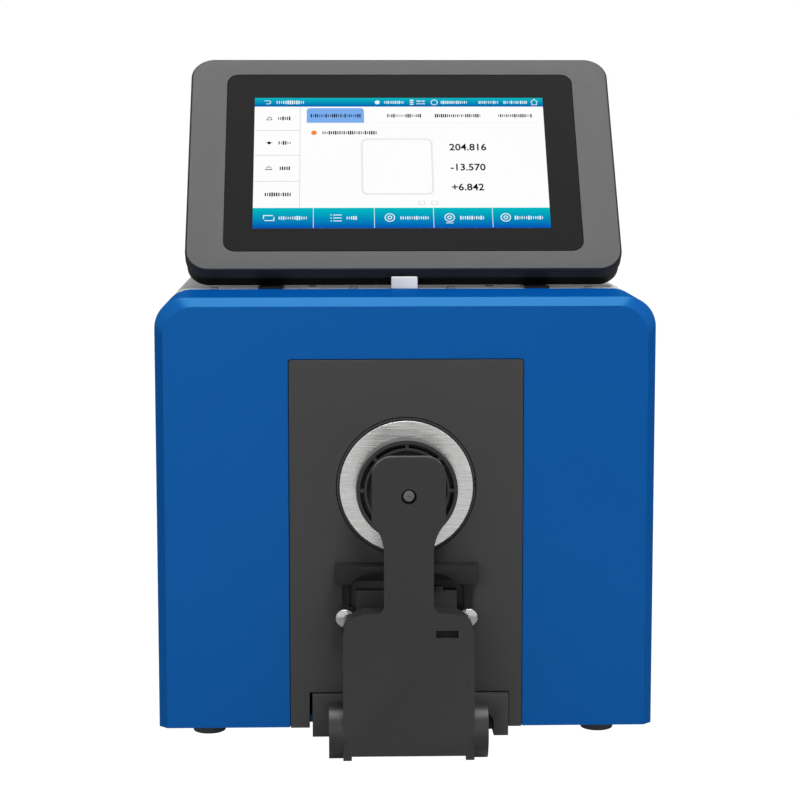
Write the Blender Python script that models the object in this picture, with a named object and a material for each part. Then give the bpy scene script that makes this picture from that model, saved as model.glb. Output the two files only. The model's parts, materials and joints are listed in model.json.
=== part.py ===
"""Benchtop spectrophotometer with a sprung sample arm and a tilting display.

Metres, +Z up. While it is being built, X runs right, Y runs back from the front
face of the blue frame and Z runs up from that frame's bottom edge. One empty
then moves the whole instrument, so that its box stands centred on the origin.
"""
import math

import bmesh
import bpy
from mathutils import Vector

# Clearances and overruns
GAP = 0.0003
BORE_GAP = 0.0003
OVERRUN = 0.002
ROUND_STEPS = 40
SMALL_STEPS = 20
CORNER_STEPS = 6

# Front frame
FRAME_WIDTH = 0.244
FRAME_HEIGHT = 0.2126
FRAME_DEPTH = 0.0599
FRAME_RADIUS = 0.0148
FACE_RADIUS = 0.0150
FRAME_CHAMFER = 0.0042
FRAME_WALL = 0.004
FRAME_FRONT = 0.005

# Dark front panel, let into the frame
PANEL_WIDTH = 0.114
PANEL_DROP = 0.0301
PANEL_TOP = FRAME_HEIGHT - PANEL_DROP
PANEL_PROUD = 0.001
PANEL_THICKNESS = 0.003
PANEL_RADIUS = 0.0015

# Measuring port, on one axis along Y
PORT_DROP = 0.0923
PORT_Z = FRAME_HEIGHT - PORT_DROP
PLATE_RADIUS = 0.03255
PLATE_HOLE_RADIUS = 0.0125
PLATE_CONE_RADIUS = 0.0190
PLATE_FRONT = 0.0025
PLATE_THICKNESS = 0.006
SEAT_RADIUS = 0.0340
SEAT_LIP = 0.0011
SEAT_PROUD = 0.0006
SEAT_FLOOR = 0.004
SEAT_BORE_RADIUS = 0.0200
COLLAR_OUTER = 0.0220
COLLAR_INNER = 0.0190
COLLAR_LENGTH = 0.0085

# Integrating sphere
SPHERE_INNER = 0.060
SPHERE_WALL = 0.004
SPHERE_Y = 0.0755
SPHERE_FLANGE = 0.006
SPHERE_FLANGE_THICKNESS = 0.003
SPHERE_RINGS = 7
BEAM_RADIUS = 0.0125
STAND_HALF_WIDTH = 0.045
STAND_DEPTH = 0.016

# Sample rest below the port
REST_HALF_WIDTH = 0.0349
REST_DROP = 0.0374
REST_THICKNESS = 0.0087
REST_TOP = PORT_Z - REST_DROP
REST_BOTTOM = REST_TOP - REST_THICKNESS
REST_FRONT = 0.0125
REST_ARCH_HALF_WIDTH = 0.0263
REST_ARCH_HEIGHT = 0.0054
REST_ARCH_RADIUS = 0.0160
REST_ARCH_X = -0.0016
REST_BACK_WALL = 0.0015
LEG_OUTER = 0.0316
LEG_WIDTH = 0.0036
LEG_FRONT = 0.0050
LEG_LENGTH = 0.0267
PAD_WIDTH = 0.0056
PAD_HEIGHT = 0.0140
BLOCK_HALF_WIDTH = 0.0246
BLOCK_DROP = 0.0040
BLOCK_HEIGHT = 0.0202
BLOCK_FRONT = 0.0075
TAB_X = 0.0158
TAB_WIDTH = 0.0040
TAB_HEIGHT = 0.0020
TAB_DEPTH = 0.0020
KNOB_X = 0.0302
KNOB_RISE = 0.0093
KNOB_RADIUS = 0.00465
KNOB_COLLAR = 0.0037
KNOB_DOME = 0.0020
KNOB_STEM_RADIUS = 0.0014
KNOB_STEM_DEPTH = 0.0025
KNOB_SLOT_WIDTH = 0.0009
KNOB_SLOT_DEPTH = 0.0010

# Hinge bracket of the sample arm, in a cut-out at the panel's foot
CUTOUT_LEFT = 0.0476
CUTOUT_RIGHT = 0.0506
CUTOUT_TOP = 0.0178
CUTOUT_REBATE = 0.0015
BRACKET_SIDE_GAP = 0.0014
BRACKET_RIGHT_GAP = 0.0004
BRACKET_TOP_GAP = 0.0006
BRACKET_BOTTOM = 0.0035
BRACKET_FRONT = 0.0050
BRACKET_BACK = 0.0095
EAR_LEFT = 0.0086
EAR_RIGHT = 0.0072
RECESS_TOP = 0.0085
RECESS_RADIUS = 0.0060
RECESS_BACK = 0.0068
KNUCKLE_INNER = 0.0150
KNUCKLE_OUTER = 0.0240
KNUCKLE_RADIUS = 0.0068

# Sample arm and its hinge
ARM_AXIS_Y = -0.0283
ARM_AXIS_Z = 0.0062
SHAFT_RADIUS = 0.0025
SHAFT_END_WALL = 0.0014
DRUM_RADIUS = 0.0134
DRUM_WIDTH = 0.0068
ARM_FRONT = 0.0415
ARM_DEPTH = 0.0140
ARM_WALL = 0.0025
ARM_HALF_WIDTH = 0.0313
ARM_BOTTOM = 0.0033
ARM_SHOULDER_DROP = 0.0544
ARM_SHOULDER_RADIUS = 0.0115
NECK_HALF_WIDTH = 0.0118
NECK_FILLET = 0.0036
HEAD_HALF_WIDTH = 0.01745
HEAD_RISE = 0.0206
HEAD_DEPTH = 0.0048
HEAD_RADIUS = 0.0096
HEAD_SIDE_DROP = 0.0097
HEAD_HEEL_RADIUS = 0.003
HEAD_HEEL_ANGLE = math.radians(40)
LUG_WIDTH = 0.0041
LUG_DROP = 0.0020
LUG_DEPTH = 0.0050
WINDOW_X = 0.0182
WINDOW_DROP = 0.0100
WINDOW_WIDTH = 0.0106
WINDOW_HEIGHT = 0.0036
SPRING_WIRE_RING = 0.0026
SPRING_LENGTH = 0.0040
ARM_FRAME_THICKNESS = 0.0020
ARM_FRAME_BOTTOM = 0.0200
ARM_FRAME_BOSS_RADIUS = 0.0075
ARM_FRAME_BOSS_LENGTH = 0.0067
SCREW_WELL_RADIUS = 0.0036

# Clamp disc on its sprung spindle
DISC_RADIUS = 0.0246
DISC_RIM_WIDTH = 0.0019
DISC_SLOT_INNER = 0.0207
DISC_RING_WIDTH = 0.0013
DISC_FRONT = 0.0140
DISC_RING_SET_BACK = 0.0002
DISC_WEB = 0.0030
DISC_HUB_RADIUS = 0.0080
DISC_HUB_FRONT = 0.0160
SPOKE_COUNT = 8
SPOKE_WIDTH = 0.0016
SPOKE_BITE = 0.0006
SPINDLE_RADIUS = 0.0020
SPINDLE_LIFT = 0.0017
COIL_WIDTH = 0.0018
CLAMP_SCREW_RADIUS = 0.0028
CLAMP_SCREW_HEAD = 0.0018
CLAMP_SCREW_SET_BACK = 0.0023

# Case behind the frame
COVER_SIDE_STEP = 0.0005
COVER_TOP_STEP = 0.0004
COVER_HALF_WIDTH = FRAME_WIDTH / 2 - COVER_SIDE_STEP
COVER_TOP = FRAME_HEIGHT - COVER_TOP_STEP
COVER_RADIUS = 0.0134
COVER_WALL = 0.0025
CASE_BACK = 0.3860
REAR_PANEL_THICKNESS = 0.0030
BASE_THICKNESS = 0.0030
FOOT_HEIGHT = 0.0125
FOOT_RADIUS = 0.0087
FOOT_TIP_RADIUS = 0.0083
FOOT_TIP_BEVEL = 0.0009
FOOT_INSET = 0.02255
FOOT_X = FRAME_WIDTH / 2 - FOOT_INSET
FOOT_FRONT_Y = 0.0425
FOOT_REAR_Y = 0.3450
VENT_COUNT = 8
VENT_WIDTH = 0.0035
VENT_HEIGHT = 0.0360
VENT_PITCH = 0.0085
VENT_X = 0.0600
VENT_Z = 0.0650

# Display head, in the plane of its face: s up the face, t back from it
DISPLAY_SHIFT_X = 0.0011
DISPLAY_TILT = math.radians(38.85)
DISPLAY_EDGE_Y = 0.0617
DISPLAY_EDGE_RISE = 0.0110
DISPLAY_WIDTH = 0.2244
DISPLAY_HEIGHT = 0.1383
DISPLAY_RADIUS = 0.0125
DISPLAY_EDGE = 0.0013
DISPLAY_LIP = 0.0013
DISPLAY_EDGE_STEPS = 4
BEZEL_DEPTH = 0.0070
SHELL_WALL = 0.0028
BEZEL_WEB = 0.0027
BACK_DEPTH = 0.0149
BACK_INSET = 0.0006
BACK_ROUNDING = 0.0008
BACK_WALL = 0.0024
GLASS_WIDTH = 0.1850
GLASS_HEIGHT = 0.11645
GLASS_BOTTOM = 0.0106
GLASS_RADIUS = 0.0060
GLASS_THICKNESS = 0.0015
LCD_WIDTH = 0.1641
LCD_HEIGHT = 0.0959
LCD_THICKNESS = 0.0060
BOARD_THICKNESS = 0.0016
BOARD_MARGIN = 0.0070
TILT_AXIS_S = 0.0100
TILT_AXIS_T = 0.0204
TILT_KNUCKLE_RADIUS = 0.0045
TILT_PIN_RADIUS = 0.0015
TILT_FOOT_X = 0.0682
TILT_FOOT_WIDTH = 0.0129
TILT_FOOT_FRONT = 0.0635
TILT_FOOT_BACK = 0.0920
TILT_FOOT_THICKNESS = 0.0009
LEAF_HEIGHT = 0.0300
LEAF_THICKNESS = 0.0016
DUCT_WIDTH = 0.0134
DUCT_FRONT = 0.0605
DUCT_BACK = 0.0643
DUCT_RISE = 0.0064

# Transmission compartment under its lid
CHAMBER_HALF_WIDTH = 0.0580
CHAMBER_FRONT = 0.2230
CHAMBER_BACK = 0.3030
CHAMBER_DROP = 0.0283
CHAMBER_WALL = 0.0020
CHAMBER_FLANGE = 0.0060
CHAMBER_FLANGE_THICKNESS = 0.0022
LID_MARGIN = 0.0080
LID_FRONT_MARGIN = 0.0100
LID_THICKNESS = 0.0050
LID_RADIUS = 0.0080
LID_LIP_CLEARANCE = 0.0018
LID_LIP_DEPTH = 0.0065
LID_LIP_WALL = 0.0022
SEAL_WIDTH = 0.0030
SEAL_THICKNESS = 0.0012
SEAL_CLEARANCE = 0.0006
LID_AXIS_BACK = 0.0045
LID_KNUCKLE_RADIUS = 0.0030
LID_PIN_RADIUS = 0.0012
LID_KNUCKLE_X = 0.0400
LID_KNUCKLE_WIDTH = 0.0090
LID_STRIP = 0.0006
HOLDER_HALF_WIDTH = 0.0120
CUVETTE_WIDTH = 0.0128
HOLDER_DEPTH = 0.0180
HOLDER_BASE = 0.0050
HOLDER_HEIGHT = 0.0430

# Inner modules
TUBE_OUTER = 0.0150
CASE_MODULE_HALF_WIDTH = 0.0550
CASE_MODULE_DROP = 0.0503
CASE_MODULE_RISE = 0.0397
CASE_MODULE_WALL = 0.0030
CASE_LEG_SET_BACK = 0.0140
LENS_TUBE_LENGTH = 0.0180
MODULE_BACK_GAP = 0.0060
GRATING_SIZE = 0.0250
GRATING_THICKNESS = 0.0060
GRATING_RIGHT = 0.0300
LAMP_TUBE_RADIUS = 0.0140
LAMP_TUBE_LENGTH = 0.0120
LAMP_BOX = 0.0300
LAMP_SIDE = 0.0087
CAMERA_WIDTH = 0.0160
CAMERA_DEPTH = 0.0080
CAMERA_LIFT = 0.0560
MAIN_BOARD_SIDE = 0.0110
MAIN_BOARD_FRONT = 0.1500
MAIN_BOARD_LENGTH = 0.1500
MAIN_BOARD_WIDTH = 0.1000
MAIN_BOARD_RISE = 0.0080
BOSS_RADIUS = 0.0035
BOSS_INSET = 0.0060
SUPPLY_WIDTH = 0.0500
SUPPLY_LENGTH = 0.1200
SUPPLY_HEIGHT = 0.0380
SUPPLY_FRONT = 0.1600
SUPPLY_SIDE = 0.0040

# Rear sockets and rocker
SOCKET_DEPTH = 0.0120
SOCKET_PROUD = 0.0012
INLET_INSET = 0.0315
INLET_WIDTH = 0.0180
SOCKET_Z = 0.0260
INLET_HEIGHT = 0.0140
JACK_RADIUS = 0.0035
JACK_DEPTH = 0.0080
USB_X = 0.0100
USB_WIDTH = 0.0120
USB_HEIGHT = 0.0110
SERIAL_X = 0.0450
SERIAL_WIDTH = 0.0310
SERIAL_HEIGHT = 0.0125
SOCKET_RIM = 0.0020
SOCKET_POCKET = 0.0020
ROCKER_STEP = 0.0380
ROCKER_WIDTH = 0.0120
ROCKER_HALF_HEIGHT = 0.0085
ROCKER_NECK = 0.0045
ROCKER_BACK = 0.0030
ROCKER_TILT = math.radians(10)
ROCKER_AXIS_IN = 0.0020
ROCKER_SIDE_GAP = 0.0005
ROCKER_FRAME_RIM = 0.0020
ROCKER_FRAME_DEPTH = 0.0120
ROCKER_SWEEP_GAP = 0.0005

# Sizes that follow from the ones above
SEAT_BACK = SEAT_FLOOR + FRAME_FRONT
SPHERE_OUTER = SPHERE_INNER + SPHERE_WALL
REST_ARCH_TOP = REST_BOTTOM + REST_ARCH_HEIGHT
LEG_BOTTOM = REST_BOTTOM - LEG_LENGTH
PAD_TOP = LEG_BOTTOM + PAD_HEIGHT
KNOB_Z = LEG_BOTTOM + KNOB_RISE
BLOCK_TOP = REST_BOTTOM - BLOCK_DROP
BLOCK_BOTTOM = BLOCK_TOP - BLOCK_HEIGHT
ARM_SHOULDER_Z = PORT_Z - ARM_SHOULDER_DROP
HEAD_TOP = PORT_Z + HEAD_RISE
HEAD_SIDE_BOTTOM = PORT_Z - HEAD_SIDE_DROP
WINDOW_Z = ARM_SHOULDER_Z - WINDOW_DROP
SPINDLE_Z = PORT_Z + SPINDLE_LIFT
REAR_FACE = CASE_BACK + REAR_PANEL_THICKNESS
ARM_BACK = ARM_DEPTH - ARM_FRONT
ARM_PLATE_BACK = HEAD_DEPTH - ARM_FRONT
ARM_BOSS_END = ARM_PLATE_BACK + ARM_FRAME_BOSS_LENGTH
CHAMBER_FLOOR = PORT_Z - CHAMBER_DROP
CASE_MODULE_BOTTOM = PORT_Z - CASE_MODULE_DROP
CASE_MODULE_TOP = PORT_Z + CASE_MODULE_RISE
MAIN_BOARD_LEFT = COVER_HALF_WIDTH - COVER_WALL - MAIN_BOARD_SIDE - MAIN_BOARD_WIDTH
INLET_X = INLET_INSET - COVER_HALF_WIDTH
ROCKER_X = INLET_X + ROCKER_STEP
DUCT_TOP = COVER_TOP + DUCT_RISE
DISPLAY_EDGE_Z = COVER_TOP + DISPLAY_EDGE_RISE
ROCKER_END = ROCKER_NECK + ROCKER_HALF_HEIGHT * math.tan(ROCKER_TILT)
ROCKER_REACH = math.hypot(ROCKER_END, ROCKER_HALF_HEIGHT)
ROCKER_CORNER = math.atan2(ROCKER_END, ROCKER_HALF_HEIGHT)
ROCKER_AXIS_Y = REAR_FACE - ROCKER_AXIS_IN
FRONT_REACH = ARM_AXIS_Y - DRUM_RADIUS
BACK_REACH = ROCKER_AXIS_Y + ROCKER_REACH * math.sin(ROCKER_CORNER + ROCKER_TILT)
TILT_AXIS_Y = (DISPLAY_EDGE_Y + TILT_AXIS_S * math.sin(DISPLAY_TILT)
               + TILT_AXIS_T * math.cos(DISPLAY_TILT))
TILT_AXIS_Z = (DISPLAY_EDGE_Z + TILT_AXIS_S * math.cos(DISPLAY_TILT)
               - TILT_AXIS_T * math.sin(DISPLAY_TILT))
LID_BOTTOM = COVER_TOP + GAP + SEAL_THICKNESS + GAP
LID_AXIS_Y = CHAMBER_BACK + LID_MARGIN + LID_AXIS_BACK
LID_AXIS_Z = LID_BOTTOM + LID_THICKNESS / 2
ROCKER_SWEEP = ROCKER_REACH * math.cos(ROCKER_CORNER - ROCKER_TILT) + ROCKER_SWEEP_GAP
ROCKER_ROOM = ROCKER_WIDTH / 2 + ROCKER_SIDE_GAP
SOCKET_HOLES = (
    (INLET_X, INLET_WIDTH, INLET_HEIGHT),
    (USB_X, USB_WIDTH, USB_HEIGHT),
    (SERIAL_X, SERIAL_WIDTH, SERIAL_HEIGHT),
    (ROCKER_X, 2 * (ROCKER_ROOM + ROCKER_FRAME_RIM), 2 * (ROCKER_SWEEP + ROCKER_FRAME_RIM)),
)

MATERIALS = {}


def finish(name, colour, roughness, metallic=0.0):
    """A Principled material, made once under its name."""
    if name not in MATERIALS:
        material = bpy.data.materials.new(name)
        material.use_nodes = True
        shader = material.node_tree.nodes["Principled BSDF"]
        shader.inputs["Base Color"].default_value = (*colour, 1.0)
        shader.inputs["Roughness"].default_value = roughness
        shader.inputs["Metallic"].default_value = metallic
        MATERIALS[name] = material
    return MATERIALS[name]


def empty(name, spot, built_from, parent=None, tilt=0.0):
    """An empty on a joint's axis; its pieces are drawn from the point built_from."""
    marker = bpy.data.objects.new(name, None)
    bpy.context.scene.collection.objects.link(marker)
    marker.location = spot
    marker.rotation_euler = (tilt, 0.0, 0.0)
    marker.parent = parent
    marker["built_from"] = built_from
    return marker


def add(name, shape, material, axis, smooth=False):
    """Make the named piece from a bmesh, built in the instrument's coordinates."""
    bmesh.ops.recalc_face_normals(shape, faces=shape.faces)
    mesh = bpy.data.meshes.new(name)
    shape.to_mesh(mesh)
    shape.free()
    if smooth:
        mesh.shade_smooth()
        mesh.set_sharp_from_angle(angle=math.radians(35))
    if material:
        mesh.materials.append(material)
    piece = bpy.data.objects.new(name, mesh)
    bpy.context.scene.collection.objects.link(piece)
    piece.parent = axis
    piece.location = -Vector(axis["built_from"])
    return piece


def combine(piece, shape, operation):
    """Cut a shape from the piece, or join it on, with a Boolean modifier."""
    axis = piece.parent
    tool = add(f"{operation.lower()}_{piece.name}_{len(piece.modifiers)}", shape, None, axis)
    tool.location = piece.location
    tool.hide_render = True
    tool.display_type = "WIRE"
    step = piece.modifiers.new(tool.name, "BOOLEAN")
    step.operation = operation
    step.object = tool


def cut(piece, shape):
    combine(piece, shape, "DIFFERENCE")


def join(piece, shape):
    combine(piece, shape, "UNION")


def loft(rings):
    """A closed solid through rings that have equally many points."""
    shape = bmesh.new()
    rows = [[shape.verts.new(point) for point in ring] for ring in rings]
    count = len(rows[0])
    for near, far in zip(rows, rows[1:]):
        for i in range(count):
            j = (i + 1) % count
            shape.faces.new((near[i], near[j], far[j], far[i]))
    shape.faces.new(rows[0])
    shape.faces.new(rows[-1])
    return shape


def lift(outline, along, height):
    """Place a flat outline at a height along the named axis."""
    if along == "X":
        return [(height, a, b) for a, b in outline]
    if along == "Y":
        return [(a, height, b) for a, b in outline]
    return [(a, b, height) for a, b in outline]


def prism(outline, along, low, high):
    return loft([lift(outline, along, low), lift(outline, along, high)])


def block(x, y, z):
    """A box from pairs of limits."""
    corners = [(x[0], y[0]), (x[1], y[0]), (x[1], y[1]), (x[0], y[1])]
    return prism(corners, "Z", z[0], z[1])


def arc(centre, radius, start, stop, steps=CORNER_STEPS):
    """Points on an arc, angles in degrees from the first axis."""
    points = []
    for i in range(steps + 1):
        angle = math.radians(start + (stop - start) * i / steps)
        points.append((centre[0] + radius * math.cos(angle), centre[1] + radius * math.sin(angle)))
    return points


def rounded(a, b, radius, steps=CORNER_STEPS):
    """A rectangle from pairs of limits, with four round corners."""
    return (arc((a[1] - radius, b[0] + radius), radius, -90, 0, steps)
            + arc((a[1] - radius, b[1] - radius), radius, 0, 90, steps)
            + arc((a[0] + radius, b[1] - radius), radius, 90, 180, steps)
            + arc((a[0] + radius, b[0] + radius), radius, 180, 270, steps))


def arched(half_width, bottom, top, radius, steps=CORNER_STEPS):
    """A gate outline: square at the bottom, round at both top corners."""
    return ([(-half_width, bottom), (half_width, bottom)]
            + arc((half_width - radius, top - radius), radius, 0, 90, steps)
            + arc((-half_width + radius, top - radius), radius, 90, 180, steps))


def turned(profile, along, centre, steps=ROUND_STEPS):
    """Turn a profile of (radius, height) about an axis through the centre."""
    shape = bmesh.new()
    rows = []
    for radius, height in profile:
        count = steps if radius > 0 else 1
        row = []
        for i in range(count):
            angle = 2 * math.pi * i / steps
            a, b = radius * math.cos(angle), radius * math.sin(angle)
            spot = {"X": (height, a, b), "Y": (a, height, b), "Z": (a, b, height)}[along]
            row.append(shape.verts.new(Vector(spot) + Vector(centre)))
        rows.append(row)
    pairs = list(zip(rows, rows[1:]))
    if profile[0][0] > 0:
        pairs.append((rows[-1], rows[0]))
    for near, far in pairs:
        for i in range(steps):
            j = (i + 1) % steps
            corners = [near[i % len(near)], near[j % len(near)],
                       far[j % len(far)], far[i % len(far)]]
            shape.faces.new(list(dict.fromkeys(corners)))
    return shape


def rod(radius, along, low, high, centre, steps=ROUND_STEPS):
    return turned([(0, low), (radius, low), (radius, high), (0, high)], along, centre, steps)


def sleeve(inner, outer, along, low, high, centre, steps=ROUND_STEPS):
    profile = [(inner, low), (outer, low), (outer, high), (inner, high)]
    return turned(profile, along, centre, steps)


def mirrored(limits):
    return (-limits[1], -limits[0])


def build_front_frame(axis):
    """The blue frame: a chamfered gate outline with a front wall, open behind."""
    paint = finish("blue_paint", (0.004, 0.090, 0.310), 0.35)
    half = FRAME_WIDTH / 2
    inner = half - FRAME_CHAMFER
    face = arched(inner, 0, FRAME_HEIGHT - FRAME_CHAMFER, FACE_RADIUS)
    side = arched(half, 0, FRAME_HEIGHT, FRAME_RADIUS)
    rings = [lift(face, "Y", 0), lift(side, "Y", FRAME_CHAMFER), lift(side, "Y", FRAME_DEPTH)]
    frame = add("front_frame", loft(rings), paint, axis, smooth=True)
    hollow = arched(half - FRAME_WALL, FRAME_WALL, FRAME_HEIGHT - FRAME_WALL,
                    FRAME_RADIUS - FRAME_WALL)
    cut(frame, prism(hollow, "Y", FRAME_FRONT, FRAME_DEPTH + OVERRUN))
    pocket_half = PANEL_WIDTH / 2 + GAP
    pocket = arched(pocket_half, -OVERRUN, PANEL_TOP + GAP, PANEL_RADIUS)
    floor = PANEL_THICKNESS - PANEL_PROUD + GAP
    cut(frame, prism(pocket, "Y", -OVERRUN, floor))
    port = rod(SEAT_RADIUS + GAP, "Y", 0, FRAME_FRONT + OVERRUN, (0, 0, PORT_Z))
    cut(frame, port)
    cut(frame, block((-CUTOUT_LEFT - CUTOUT_REBATE, CUTOUT_RIGHT + CUTOUT_REBATE),
                     (0, BRACKET_BACK + GAP), (-OVERRUN, CUTOUT_TOP + CUTOUT_REBATE)))


def build_front_panel(axis):
    """The dark plate that carries the port, the sample rest and the arm."""
    dark = finish("dark_panel", (0.055, 0.055, 0.056), 0.55)
    outline = arched(PANEL_WIDTH / 2, 0, PANEL_TOP, PANEL_RADIUS)
    panel = add("front_panel", prism(outline, "Y", -PANEL_PROUD, PANEL_THICKNESS - PANEL_PROUD),
                dark, axis)
    cut(panel, rod(SEAT_RADIUS + GAP, "Y", -FRAME_FRONT, FRAME_FRONT, (0, 0, PORT_Z)))
    cut(panel, block((-CUTOUT_LEFT, CUTOUT_RIGHT), (-FRAME_FRONT, FRAME_FRONT),
                     (-OVERRUN, CUTOUT_TOP)))
    for side in (-1, 1):
        hole = rod(KNOB_STEM_RADIUS + BORE_GAP, "Y", -FRAME_FRONT, FRAME_FRONT,
                   (side * KNOB_X, 0, KNOB_Z), SMALL_STEPS)
        cut(panel, hole)


def build_port(axis, plate_axis):
    """Aperture seat, the exchangeable silver aperture plate and the inner collar."""
    black = finish("black_plastic", (0.012, 0.012, 0.013), 0.45)
    silver = finish("brushed_silver", (0.70, 0.70, 0.70), 0.32, 1.0)
    white = finish("port_white", (0.85, 0.85, 0.83), 0.75)
    centre = (0, 0, PORT_Z)
    seat_profile = [
        (SEAT_RADIUS - SEAT_LIP, -SEAT_PROUD),
        (SEAT_RADIUS, -SEAT_PROUD),
        (SEAT_RADIUS, SEAT_BACK),
        (SEAT_BORE_RADIUS, SEAT_BACK),
        (SEAT_BORE_RADIUS, SEAT_FLOOR),
        (SEAT_RADIUS - SEAT_LIP, SEAT_FLOOR),
    ]
    add("aperture_seat", turned(seat_profile, "Y", centre), black, axis, smooth=True)
    back = PLATE_THICKNESS - PLATE_FRONT
    plate_profile = [
        (PLATE_HOLE_RADIUS, -PLATE_FRONT),
        (PLATE_RADIUS, -PLATE_FRONT),
        (PLATE_RADIUS, back),
        (PLATE_CONE_RADIUS, back),
    ]
    add("aperture_plate", turned(plate_profile, "Y", centre), silver, plate_axis, smooth=True)
    collar_front = SEAT_BACK + GAP
    add("port_collar", sleeve(COLLAR_INNER, COLLAR_OUTER, "Y", collar_front,
                              collar_front + COLLAR_LENGTH, centre), white, axis, smooth=True)


def half_sphere(side, port):
    """Profile of one half of the integrating sphere, with its joint flange."""
    joint = side * GAP / 2
    rim = SPHERE_OUTER + SPHERE_FLANGE
    start = math.asin(SPHERE_FLANGE_THICKNESS / SPHERE_OUTER)
    profile = [(SPHERE_INNER, joint), (rim, joint), (rim, side * SPHERE_FLANGE_THICKNESS)]
    for radius, first, last in (
            (SPHERE_OUTER, start, math.acos(port / SPHERE_OUTER)),
            (SPHERE_INNER, math.acos(port / SPHERE_INNER), start / 2)):
        for i in range(SPHERE_RINGS + 1):
            angle = first + (last - first) * i / SPHERE_RINGS
            profile.append((radius * math.cos(angle), side * radius * math.sin(angle)))
    return profile


def build_sphere(axis):
    """Two sphere halves, the saddle they stand in and the beam tube behind."""
    alloy = finish("sphere_alloy", (0.45, 0.46, 0.47), 0.45, 1.0)
    black = finish("black_plastic", (0.012, 0.012, 0.013), 0.45)
    centre = (0, SPHERE_Y, PORT_Z)
    for name, side, port in (("sphere_front_half", -1, COLLAR_OUTER + GAP),
                             ("sphere_rear_half", 1, BEAM_RADIUS)):
        add(name, turned(half_sphere(side, port), "Y", centre), alloy, axis, smooth=True)
    saddle_front = SPHERE_Y + SPHERE_FLANGE_THICKNESS + GAP
    saddle_top = PORT_Z - SPHERE_OUTER / 2
    saddle = add("sphere_stand", block((-STAND_HALF_WIDTH, STAND_HALF_WIDTH),
                                       (saddle_front, saddle_front + STAND_DEPTH),
                                       (BASE_THICKNESS + GAP, saddle_top)), black, axis)
    cut(saddle, rod(SPHERE_OUTER + GAP, "Y", -OVERRUN, STAND_DEPTH + OVERRUN,
                    (0, saddle_front, PORT_Z)))
    start = SPHERE_Y + SPHERE_OUTER + GAP
    stop = CHAMBER_FRONT - CHAMBER_WALL - GAP
    add("beam_tube", sleeve(BEAM_RADIUS, TUBE_OUTER, "Y", start, stop, (0, 0, PORT_Z)),
        black, axis, smooth=True)


def build_sample_rest(axis):
    """The arched shelf under the port, with its two legs, and the block between them."""
    black = finish("satin_black", (0.030, 0.030, 0.031), 0.5)
    back = -PANEL_PROUD - GAP
    web = back - REST_BACK_WALL
    radius = REST_ARCH_RADIUS
    arch_z = REST_ARCH_TOP - radius
    start = math.asin((REST_BOTTOM - arch_z) / radius)
    flat = REST_ARCH_HALF_WIDTH - radius * math.cos(start)
    turn = math.degrees(start)
    outline = ([(-REST_HALF_WIDTH, REST_TOP), (-REST_HALF_WIDTH, REST_BOTTOM)]
               + arc((REST_ARCH_X - flat, arch_z), radius, 180 - turn, 90)
               + arc((REST_ARCH_X + flat, arch_z), radius, 90, turn)
               + [(REST_HALF_WIDTH, REST_BOTTOM), (REST_HALF_WIDTH, REST_TOP)])
    rest = add("sample_rest", prism(outline, "Y", -REST_FRONT, back), black, axis)
    join(rest, block((-REST_HALF_WIDTH, REST_HALF_WIDTH), (web, back), (REST_BOTTOM, REST_TOP)))
    for side in (-1, 1):
        leg = (LEG_OUTER - LEG_WIDTH, LEG_OUTER)
        pad = (LEG_OUTER - PAD_WIDTH, LEG_OUTER)
        if side < 0:
            leg, pad = mirrored(leg), mirrored(pad)
        join(rest, block(leg, (-LEG_FRONT, back), (LEG_BOTTOM, REST_BOTTOM + LEG_WIDTH / 2)))
        join(rest, block(pad, (-LEG_FRONT, back), (LEG_BOTTOM, PAD_TOP)))
        hole = rod(KNOB_STEM_RADIUS + BORE_GAP, "Y", -REST_FRONT, OVERRUN,
                   (side * KNOB_X, 0, KNOB_Z), SMALL_STEPS)
        cut(rest, hole)
    foot = add("rest_block", block((-BLOCK_HALF_WIDTH, BLOCK_HALF_WIDTH), (-BLOCK_FRONT, back),
                                   (BLOCK_BOTTOM, BLOCK_TOP)), black, axis)
    join(foot, block((TAB_X - TAB_WIDTH / 2, TAB_X + TAB_WIDTH / 2),
                     (-BLOCK_FRONT, TAB_DEPTH - BLOCK_FRONT),
                     (BLOCK_TOP - TAB_HEIGHT, BLOCK_TOP + TAB_HEIGHT)))


def build_knob(name, axis, x):
    """A domed quarter-turn knob with a coin slot, its stem through leg and panel."""
    steel = finish("bright_steel", (0.75, 0.75, 0.75), 0.2, 1.0)
    seat = -LEG_FRONT - GAP
    edge = seat - KNOB_COLLAR
    tail = KNOB_STEM_DEPTH - PANEL_PROUD
    profile = [(0, tail), (KNOB_STEM_RADIUS, tail),
               (KNOB_STEM_RADIUS, seat), (KNOB_RADIUS, seat)]
    for i in range(CORNER_STEPS):
        angle = math.pi / 2 * i / CORNER_STEPS
        profile.append((KNOB_RADIUS * math.cos(angle), edge - KNOB_DOME * math.sin(angle)))
    profile.append((0, edge - KNOB_DOME))
    knob = add(name, turned(profile, "Y", (x, 0, KNOB_Z), SMALL_STEPS), steel, axis, smooth=True)
    tip = edge - KNOB_DOME
    cut(knob, block((x - KNOB_RADIUS, x + KNOB_RADIUS), (tip - OVERRUN, tip + KNOB_SLOT_DEPTH),
                    (KNOB_Z - KNOB_SLOT_WIDTH / 2, KNOB_Z + KNOB_SLOT_WIDTH / 2)))


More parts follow.
